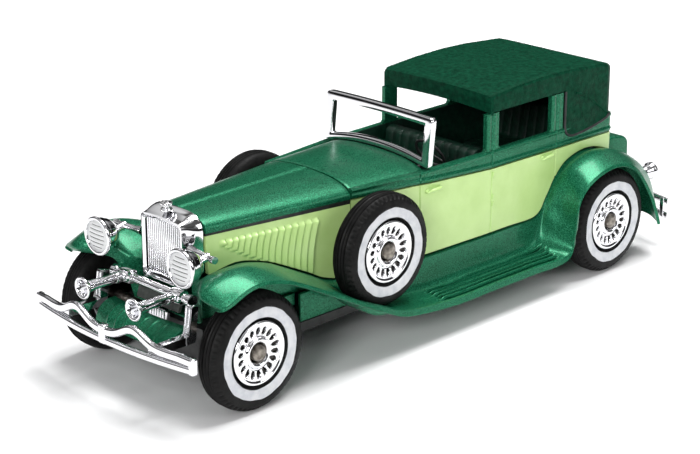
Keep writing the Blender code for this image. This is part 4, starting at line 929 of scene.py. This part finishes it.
def build_radiator():
    """Plated shell, a core of upright slats with painted shade between them, filler cap, lower strip and crank
    cover.
    """
    front = rounded_frame(4.85, 16.35, 26.9, 0.8, 0.35)
    mouth = rounded_frame(4.15, 17.3, 26.15, 0.4, 0.35)
    rear = rounded_frame(6.15, 17.05, 27.85, 2.6, 0.35)
    rear_mouth = rounded_frame(5.2, 17.5, 26.9, 2.2, 0.35)
    rounds = [(mouth, -47.55), (0.4 * mouth + 0.6 * front, -47.88)]
    rounds += [((1.0 - share) * front + share * rear, y) for share, y in
               ((0.0, -47.82), (0.1, -47.45), (0.25, -46.9), (0.65, -46.1), (0.95, -45.2), (1.0, -44.68))]
    rounds += [(rear_mouth, -44.68)]
    rings = np.stack([np.column_stack((ring[:, 0], np.full(len(ring), y), ring[:, 1])) for ring, y in rounds],
                     axis=1)
    sweep("radiator_shell_plated", rings, CHROME, loop=True, stands_for=("radiator_shell",))
    x, z = lattice(np.linspace(-4.14, 4.14, 260), np.linspace(17.4, 26.3, 24))
    slats = np.abs(np.sin(x * math.pi / SLAT_PITCH)) ** 0.6
    face = np.stack((x, -46.95 - 0.4 * slats, z), axis=-1)
    back = np.stack((x, np.full(x.shape, -45.3), z), axis=-1)
    core = closed_sheet("radiator_slats", face, back, SHADE_PAINTED_PLATING, stands_for=("radiator_core",), sharp=70.0)
    # Painted shade: dark between the slats, bright on their crests.
    paint_recess_shade(core, lambda place: 1.0 - np.abs(np.sin(place[:, 0] * math.pi / SLAT_PITCH)) ** 0.9)
    cap = softened([(0.0, 27.95), (0.95, 27.95), (0.95, 28.3), (0.5, 28.45), (0.45, 28.85), (1.0, 29.0),
                    (0.95, 29.3), (0.4, 29.5), (0.0, 29.6)], 0.12)
    turned("filler_cap", cap, "Z", (0.0, -46.6, 0.0), CHROME, 32, stands_for=("radiator_cap",))
    tube("filler_cap_bar", [(-0.95, -46.6, 29.15), (0.0, -46.6, 29.25), (0.95, -46.6, 29.15)],
         (0.22, 0.3, 0.22), CHROME)
    extruded("lower_strip", [(-48.2, 15.9), (-47.5, 15.9), (-48.5, 13.2), (-49.1, 13.2)], -5.0, 5.0, GRATING,
             stands_for=("radiator_strip",))
    angle = np.linspace(math.pi, 2.0 * math.pi, 30)
    outline = np.column_stack((2.4 * np.cos(angle), 12.9 + 3.2 * np.sin(angle)))
    rings = [np.column_stack((outline[:, 0] * k, np.full(30, y), 12.9 + (outline[:, 1] - 12.9) * k))
             for y, k in ((-48.5, 1.0), (-49.05, 1.0), (-49.2, 0.93))]
    sweep("crank_cover_plated", rings, CHROME, stands_for=("crank_cover",))
    for number, x in enumerate(np.linspace(-1.8, 1.8, 7)):
        foot = 12.7 - 2.9 * math.sqrt(1.0 - (x / 2.4) ** 2)
        rib = softened([(x, -49.2, 12.8), (x, -49.2, foot)], 0.1)
        tube(f"crank_cover_rib_{number}", rib, 0.14, CHROME, sides=8, up=(0.0, 1.0, 0.0))


def build_headlamps():
    """Deep bowls with a turned rim, a lens with level flutes and dark lines, a bar to the radiator and a neck."""
    bowl = softened([(0.0, 0.75), (2.42, 0.75), (2.45, 0.3), (2.6, 0.02), (3.05, 0.02), (3.18, 0.35), (3.0, 0.75),
                     (2.93, 0.95), (2.85, 1.25), (2.45, 2.3), (1.6, 3.4), (0.7, 3.82), (0.0, 3.88)], 0.22)
    radius, angle = lattice(np.linspace(0.0, 2.44, 40), full_turn(96))
    x, z = radius * np.cos(angle), radius * np.sin(angle)
    flutes = 0.14 * np.abs(np.cos(z * math.pi / 0.7)) ** 0.6 * (1.0 - step(radius, 2.1, 2.35))
    face = np.stack((x, 0.34 - 0.24 * (1.0 - (radius / 2.44) ** 2) - flutes, z), axis=-1)
    back = np.stack((x, np.full(x.shape, 0.5), z), axis=-1)
    lens_rings = np.concatenate((face, back[::-1]), axis=0)
    lens_faces = grid_faces(80, 96, wrap_columns=True)
    bar_reach = np.array((5.75, 6.6, 7.4, 9.2, 10.9, 11.3, 12.0))
    bar_y = np.interp(bar_reach, (5.75, 12.1), (-46.9, -47.4))
    for side, label in SIDES:
        centre = np.array((side, 1.0, 1.0)) * HEADLAMP
        turned(f"lamp_bowl_{label}", bowl, "Y", centre, CHROME, 64, stands_for=(f"headlamp_bowl_{label}",))
        piece(f"lamp_lens_{label}", lens_rings + centre, lens_faces, LENS,
              stands_for=(f"headlamp_lens_{label}",), sharp=60.0)
        for level in (-1.75, -1.05, -0.35, 0.35, 1.05, 1.75):
            width = 0.8 * math.sqrt(2.2 ** 2 - level ** 2)
            run = np.linspace(-width, width, 20)
            dome = 0.32 - 0.24 * (1 - (run ** 2 + level ** 2) / 5.95)
            path = np.column_stack((run, dome, np.full(20, level))) + centre
            tube(f"lens_line_{label}_{int(level * 100 + 200)}", path, 0.07, BLACK, sides=8)
        path = np.column_stack((side * bar_reach, bar_y, np.full(7, 23.2)))
        tube(f"lamp_bar_{label}", path, (0.75, 0.62, 0.5, 0.5, 0.5, 0.62, 0.58), CHROME, sides=16,
             stands_for=(f"headlamp_bar_{label}",))
        neck = [(centre[0], -48.9, 22.8), (centre[0], -48.2, 23.0), (centre[0], -47.0, 23.2)]
        tube(f"lamp_neck_{label}", neck, (0.75, 0.62, 0.68), CHROME, sides=16)


def build_horns():
    """Tie bar with clamps, and two trumpets with rolled mouths."""
    half_x = np.array((0.0, 4.8, 5.0, 6.2, 7.4, 7.6, 8.5, 8.6, 9.4))
    half_radius = np.array((0.72, 0.74, 1.15, 1.28, 1.15, 0.74, 0.74, 0.98, 0.98))
    x = np.concatenate((-half_x[:0:-1], half_x))
    radius = np.concatenate((half_radius[:0:-1], half_radius))
    path = np.column_stack((x, np.full(len(x), -49.8), np.full(len(x), 16.6)))
    tube("tie_bar_plated", path, radius, CHROME, sides=20, stands_for=("tie_bar",))
    for side, label in SIDES:
        mouth = -58.7
        start = -51.4 - mouth
        shape = softened([(0.0, start), (0.78, start), (0.78, 3.4), (0.86, 1.9), (1.1, 0.9), (1.5, 0.45),
                          (1.78, 0.3), (1.78, 0.02), (1.5, -0.02), (1.32, 0.15), (1.05, 0.8), (0.72, 2.0),
                          (0.0, 2.4)], 0.16)
        turned(f"trumpet_{label}", shape, "Y", (side * HORN_X, mouth, 16.8), CHROME, 48,
               stands_for=(f"horn_{label}",))
        nut = softened([(0.0, -52.4), (0.8, -52.4), (0.9, -52.0), (0.9, -51.3), (0.75, -50.9), (0.0, -50.9)],
                       0.15)
        turned(f"horn_collar_{label}", nut, "Y", (side * HORN_X, 0.0, 16.75), CHROME, 32)


# ---------------------------------------------------------------- bumpers, irons, apron
def bumper_height(x):
    """Centre height of the upper bar, with one hump on each side."""
    reach = np.abs(x)
    return 12.05 + 1.95 * bump(reach - 6.8, 3.1) - 0.1 * np.clip(reach - 16.0, 0.0, None)


def front_bar_y(x):
    """Depth of the front bars, swept back toward their ends."""
    return -59.5 + 1.9 * (x / 19.0) ** 2


def rear_bar_y(x):
    """Depth of the rear bars, swept forward toward their ends."""
    return 59.85 - 2.3 * (x / 17.6) ** 2


def bar(name, x, y, z, tall, deep, material, **rest):
    """A bumper bar: a rounded, slightly crowned section carried across the car."""
    angle = full_turn(20)
    over = z[:, None] + 0.5 * tall * power_wave(np.sin(angle), 0.6)
    out = y[:, None] + 0.5 * deep * power_wave(np.cos(angle), 0.75)
    rings = np.stack((np.broadcast_to(x[:, None], out.shape), out, over), axis=-1)
    return sweep(name, rings, material, **rest)


def build_front_bumper():
    """Wavy upper bar, level lower bar, end pieces, a middle clamp and the plated channel between the bars."""
    x = np.linspace(-18.7, 18.7, 120)
    y = front_bar_y(x)
    bar("bumper_upper_bar", x, y, bumper_height(x), 1.4, 1.05, CHROME, stands_for=("front_bumper",))
    bar("bumper_lower_bar", x, y, np.full(len(x), 10.5), 1.15, 1.0, CHROME)
    block("bumper_clamp", (-0.78, -60.1, 9.98), (0.78, -58.9, 13.05), 0.25, CHROME)
    bolt = softened([(0.0, -60.14), (0.3, -60.14), (0.34, -59.9), (0.34, -59.6)], 0.06)
    turned("bumper_clamp_bolt", bolt, "Y", (0.0, 0.0, 12.3), CHROME, 20)
    for side, label in SIDES:
        near, far = sorted((side * 17.85, side * 19.0))
        block(f"bumper_end_{label}", (near, -58.2, 9.82), (far, -57.05, 12.48), 0.3, CHROME)
        run = np.linspace(9.6, 18.0, 30) * side
        place = front_bar_y(run) + 0.25
        low = np.stack((run, place, np.full(30, 10.8)), axis=-1)
        high = np.stack((run, place, bumper_height(run) - 0.3), axis=-1)
        front = low[:, None] + (high - low)[:, None] * np.linspace(0, 1, 6)[None, :, None]
        closed_sheet(f"bumper_channel_{label}", front, front + np.array((0.0, 0.3, 0.0)), CHROME)


def build_irons():
    """Irons from the bumper back and up to the wings."""
    outline = [(-58.2, 10.9), (-51.0, 10.9), (-50.3, 16.7), (-51.6, 16.8), (-52.3, 12.2), (-58.2, 12.2)]
    for side, label in SIDES:
        near, far = side * IRON_X - 0.72, side * IRON_X + 0.72
        extruded(f"iron_{label}", outline, near, far, CHROME, 0.35, stands_for=(f"bumper_iron_{label}",))
        for number, shift in enumerate((-0.38, 0.38)):
            flute = [(side * IRON_X + shift, -52.3, 12.6), (side * IRON_X + shift, -51.75, 16.4)]
            tube(f"iron_flute_{label}_{number}", flute, 0.2, CHROME, sides=10, up=(1.0, 0.0, 0.0))


def build_rear_bumper():
    """Two thin bars with end links on two irons."""
    x = np.linspace(-17.6, 17.6, 90)
    y = rear_bar_y(x)
    bar("rear_bumper_upper", x, y, np.full(90, 8.5), 1.15, 0.55, CHROME, stands_for=("rear_bumper",))
    bar("rear_bumper_lower", x, y, np.full(90, 5.7), 1.15, 0.55, CHROME)
    for number, place in enumerate((-16.2, -9.0, 9.0, 16.2)):
        back = rear_bar_y(place)
        low, high = (place - 0.45, back - 0.5, 5.3), (place + 0.45, back + 0.1, 8.9)
        block(f"rear_bumper_link_{number}", low, high, 0.15, CHROME)
    for number, place in enumerate((-9.0, 9.0)):
        block(f"rear_iron_{number}", (place - 0.38, 51.6, 5.95), (place + 0.38, 59.0, 6.85), 0.15, BLACK)


def build_tail_lamps():
    """Cone-shaped lamps with a rolled rim, a lens and a stalk with a nut."""
    for side, label in SIDES:
        x = side * TAIL_LAMP_X
        cup = softened([(0.0, 54.6), (0.55, 54.7), (1.05, 55.6), (1.35, 57.0), (1.6, 57.3), (1.6, 57.85),
                        (1.36, 57.88), (1.3, 57.55), (0.0, 57.55)], 0.14)
        turned(f"tail_lamp_shell_{label}", cup, "Y", (x, 0.0, TAIL_LAMP_Z), CHROME, 40,
               stands_for=(f"tail_lamp_{label}",))
        dome = softened([(0.0, 57.6), (1.24, 57.6), (1.24, 57.82), (0.7, 58.1), (0.0, 58.2)], 0.1)
        turned(f"tail_lens_dome_{label}", dome, "Y", (x, 0.0, TAIL_LAMP_Z), TAIL_LENS, 32,
               stands_for=(f"tail_lens_{label}",))
        stalk = [(x, 56.05, TAIL_LAMP_Z - drop) for drop in (2.35, 1.5, 0.7)]
        tube(f"tail_lamp_stalk_{label}", stalk, (0.5, 0.28, 0.34), CHROME, up=(0.0, 1.0, 0.0))


def build_apron():
    """Apron between the irons, curved down in front, with six raised ribs."""
    places = np.linspace(0.0, 4.0, 60)
    share, x = lattice(places, np.linspace(-9.0, 9.0, 150))
    line = catmull(((-50.2, 12.4), (-51.4, 12.4), (-52.6, 12.0), (-53.6, 11.1), (-54.2, 9.6)), places)
    ribs = sum(bump(np.abs(x) - place, 0.22) for place in (1.5, 3.6, 5.7)) * step(share, 0.25, 0.7)
    y = line[:, :1] - 0.7 * (1.0 - (x / 9.0) ** 2) - 0.10 * ribs
    z = line[:, 1:] + 0.12 * ribs
    plate("apron_skin", np.stack((x, y, z), axis=-1), -0.6 * np.ones(60), GREEN, stands_for=("front_apron",))


# ---------------------------------------------------------------- trunk and cabin
def build_trunk():
    """Luggage trunk with a rounded lid, two straps and a carrying handle."""
    outline = [(47.3, 12.8), (47.3, 21.2), (48.6, 21.5), (52.2, 20.9), (53.4, 20.0), (53.5, 12.8)]
    rounded = softened(outline, 0.8, 7, loop=True)
    centre = rounded.mean(axis=0)
    turn = quarter_turn(6)
    inward, shrink = 0.6 * (1 - np.cos(turn)), 0.6 * (1 - np.sin(turn)) / 4.3
    x = np.concatenate((-11.0 + inward, 11.0 - inward[::-1]))
    scale = 1.0 - np.concatenate((shrink, shrink[::-1]))
    sweep("trunk_shell", scaled_rings(rounded, centre, zip(x, scale)), GREEN, stands_for=("trunk",))
    seam = centre + (rounded - centre) * 1.004
    for number, place in enumerate((-6.2, 6.2)):
        stops = ((place - 0.7, 0.99), (place - 0.62, 1.012), (place + 0.62, 1.012), (place + 0.7, 0.99))
        sweep(f"trunk_strap_{number}", scaled_rings(seam, centre, stops), GREEN)
    grip = softened([(-2.2, 48.2, 21.7), (-1.9, 48.2, 22.6), (1.9, 48.2, 22.6), (2.2, 48.2, 21.7)], 0.4)
    tube("trunk_grip", grip, 0.27, BLACK, up=(0.0, 1.0, 0.0), stands_for=("trunk_handle",))


def tufted(name, half, front, back, pleats, node):
    """A moulded bench as a swept profile, pleated across: the seat's face swells between upright seams."""
    x, _ = lattice(np.linspace(-half, half, 150), np.arange(len(front)))
    normal = np.gradient(front, axis=0)
    normal = np.stack((-normal[:, 1], normal[:, 0]), axis=1)
    normal /= np.linalg.norm(normal, axis=1, keepdims=True)
    share = np.linspace(0.0, 1.0, len(front))[None, :]
    pleat = 0.22 * (np.abs(np.cos(x * math.pi * pleats / (2.0 * half))) ** 0.5 - 1.0)
    pleat = pleat * step(share, 0.02, 0.08) * (1.0 - step(share, 0.92, 0.98))
    face = np.stack((x, front[:, 0] + normal[:, 0] * pleat, front[:, 1] + normal[:, 1] * pleat), axis=-1)
    back = np.stack((x, np.broadcast_to(back[:, 0], x.shape), np.broadcast_to(back[:, 1], x.shape)), axis=-1)
    return closed_sheet(name, face, back, UPHOLSTERY, stands_for=(node,), sharp=60.0)


def build_cabin():
    """Pleated seats, the partition behind the driver, and a dashboard with four dials."""
    for name, node, start, half, depth in (("driver_bench", "front_seat", 2.6, 10.35, 11.0),
                                           ("rear_bench", "rear_seat", 32.0, 10.7, 11.9)):
        face = softened([(start, 13.6), (start, 19.4), (start + 0.72 * depth, 19.3), (start + 0.82 * depth, 26.8),
                         (start + depth, 26.8)], 1.0, 12)
        back = np.column_stack((np.linspace(start + 0.2, start + depth, len(face)), np.full(len(face), 13.6)))
        tufted(name, half, face, back, 11, node)
    block("partition_panel_0", (-10.85, 14.1, 13.6), (10.85, 14.85, 26.3), 0.2, UPHOLSTERY,
          stands_for=("partition",))
    block("dashboard_panel", (-10.5, -1.15, 19.1), (10.5, -0.15, 25.8), 0.3, BLACK, stands_for=("dashboard",))
    for number, (x, radius) in enumerate(((-4.6, 0.9), (-1.8, 1.2), (1.4, 1.2), (4.4, 0.9))):
        dial = softened([(0.0, -0.3), (radius, -0.3), (radius, -0.02), (radius - 0.2, -0.02),
                         (radius - 0.25, -0.1), (0.0, -0.1)], 0.06)
        turned(f"dial_{number}", dial, "Y", (x, 0.0, 23.4), CHROME, 32)


def build_steering_wheel():
    """Rim of round section, three flat spokes, hub and column, tilted on the column."""
    tilt = math.radians(32.0)
    centre = np.array((5.6, 6.0, 26.65))

    def placed(points):
        points = np.asarray(points, dtype=float)
        y = points[:, 1] * math.cos(tilt) - points[:, 2] * math.sin(tilt)
        z = points[:, 1] * math.sin(tilt) + points[:, 2] * math.cos(tilt)
        return np.column_stack((points[:, 0], y, z)) + centre

    angle, tilted_up = full_turn(72), (0.0, math.cos(tilt), math.sin(tilt))
    circle = np.column_stack((2.9 * np.cos(angle), np.zeros(72), 2.9 * np.sin(angle)))
    tube("steering_rim", placed(circle), 0.26, BLACK, loop=True, up=tilted_up, stands_for=("steering_wheel",))
    run = np.linspace(0.3, 2.85, 8)
    for number, degrees in enumerate((90.0, 210.0, 330.0)):
        turn = math.radians(degrees)
        spoke = np.column_stack((run * math.cos(turn), np.zeros(8), run * math.sin(turn)))
        tube(f"steering_spoke_{number}", placed(spoke), 0.14, BLACK, sides=8, up=tilted_up)
    column = [(0.0, along, 0.0) for along in (0.35, 0.1, -0.3, -0.5, -5.3)]
    tube("steering_column", placed(column), (0.3, 0.62, 0.62, 0.34, 0.34), BLACK, up=(1.0, 0.0, 0.0))


# ---------------------------------------------------------------- underside
def build_underside():
    """Kept plates, screws, axles and pins in better finishes, with two frame rails added."""
    for material, nodes in ((BLACK, ("baseplate", "cabin_floor")),
                            (STEEL, ("base_screw_front", "base_screw_rear", "axle_front", "axle_rear",
                                     "spare_pin_left", "spare_pin_right"))):
        for node in nodes:
            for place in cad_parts[node].material_slots:
                place.material = material
    for number, x in enumerate((-6.6, 6.6)):
        block(f"frame_rail_{number}", (x - 0.45, -40.0, 4.62), (x + 0.45, 34.0, 5.2), 0.2, BLACK)


# ---------------------------------------------------------------- floor, light and camera
def build_stage():
    """Seamless pale floor, darkened by painted shade toward its edge, soft sky, three soft lamps and the camera."""
    mesh = bpy.data.meshes.new("floor")
    mesh.from_pydata([(-4.0, -4.0, 0.0), (4.0, -4.0, 0.0), (4.0, 4.0, 0.0), (-4.0, 4.0, 0.0)], [],
                     [(0, 1, 2, 3)])
    floor = bpy.data.objects.new("floor", mesh)
    paper, tree, surface = finish("white_paper_painted_falloff", (0.93, 0.93, 0.935), 0.8, 0.0, 0.0, 0.2)
    place = tree.nodes.new("ShaderNodeTexCoord")
    reach = tree.nodes.new("ShaderNodeVectorMath")
    reach.operation = "LENGTH"
    tree.links.new(place.outputs["Object"], reach.inputs[0])
    # Painted shade: the floor's colour falls from pale near the car to dark grey farther out, standing in for the
    # light falling off.
    painted_falloff = ramp(tree, reach.outputs["Value"], ((0.34, (0.93, 0.93, 0.935)), (0.85, (0.22, 0.22, 0.225))))
    tree.links.new(painted_falloff, surface.inputs["Base Color"])
    mesh.materials.append(paper)
    bpy.context.scene.collection.objects.link(floor)

    world = bpy.data.worlds.new("studio")
    world.use_nodes = True
    bpy.context.scene.world = world
    tree = world.node_tree
    place = tree.nodes.new("ShaderNodeTexCoord")
    split = tree.nodes.new("ShaderNodeSeparateXYZ")
    tree.links.new(place.outputs["Generated"], split.inputs["Vector"])
    sky = ramp(tree, split.outputs["Z"], ((0.0, (0.10, 0.10, 0.105)), (0.12, (0.03, 0.03, 0.032)),
                                          (0.34, (0.20, 0.20, 0.205)), (0.62, (1.0, 1.0, 1.0))))
    cloud = tree.nodes.new("ShaderNodeTexNoise")
    cloud.inputs["Scale"].default_value = 2.4
    cloud.inputs["Detail"].default_value = 1.0
    tree.links.new(place.outputs["Generated"], cloud.inputs["Vector"])
    windows = ramp(tree, cloud.outputs["Fac"], ((0.46, (0.12, 0.12, 0.12)), (0.56, (1.0, 1.0, 1.0))))
    background = tree.nodes["Background"]
    tree.links.new(multiplied(tree, sky, windows), background.inputs["Color"])
    background.inputs["Strength"].default_value = 0.75

    for name, place, aim, size, power in (("key", (0.03, 0.20, 0.80), (0.0, 0.0, 0.01), 0.38, 7.3),
                                          ("fill", (0.42, -0.80, 0.40), (0.0, 0.0, 0.02), 0.28, 4.1),
                                          ("side", (0.80, 0.30, 0.42), (0.0, 0.0, 0.02), 0.4, 1.3)):
        lamp = bpy.data.lights.new(name, "AREA")
        lamp.shape = "SQUARE"
        lamp.size = size
        lamp.energy = power
        holder = bpy.data.objects.new(name, lamp)
        holder.location = place
        holder.rotation_euler = (Vector(aim) - Vector(place)).to_track_quat("-Z", "Y").to_euler()
        bpy.context.scene.collection.objects.link(holder)

    lens = bpy.data.cameras.new("camera")
    lens.lens = 102.31
    lens.sensor_width = 36.0
    viewer = bpy.data.objects.new("camera", lens)
    viewer.location = (0.223208, -0.227437, 0.127913)
    viewer.rotation_euler = Vector((-0.6702457, 0.66076037, -0.33788525)).to_track_quat("-Z", "Y").to_euler()
    bpy.context.scene.collection.objects.link(viewer)
    bpy.context.scene.camera = viewer
    bpy.context.scene.view_settings.view_transform = "Standard"


build_stage()
build_wings()
build_bonnet()
build_body()
build_scuttle()
build_lining()
build_roof()
build_wheels()
build_windscreen()
build_radiator()
build_headlamps()
build_horns()
build_front_bumper()
build_irons()
build_rear_bumper()
build_tail_lamps()
build_apron()
build_trunk()
build_cabin()
build_steering_wheel()
build_underside()
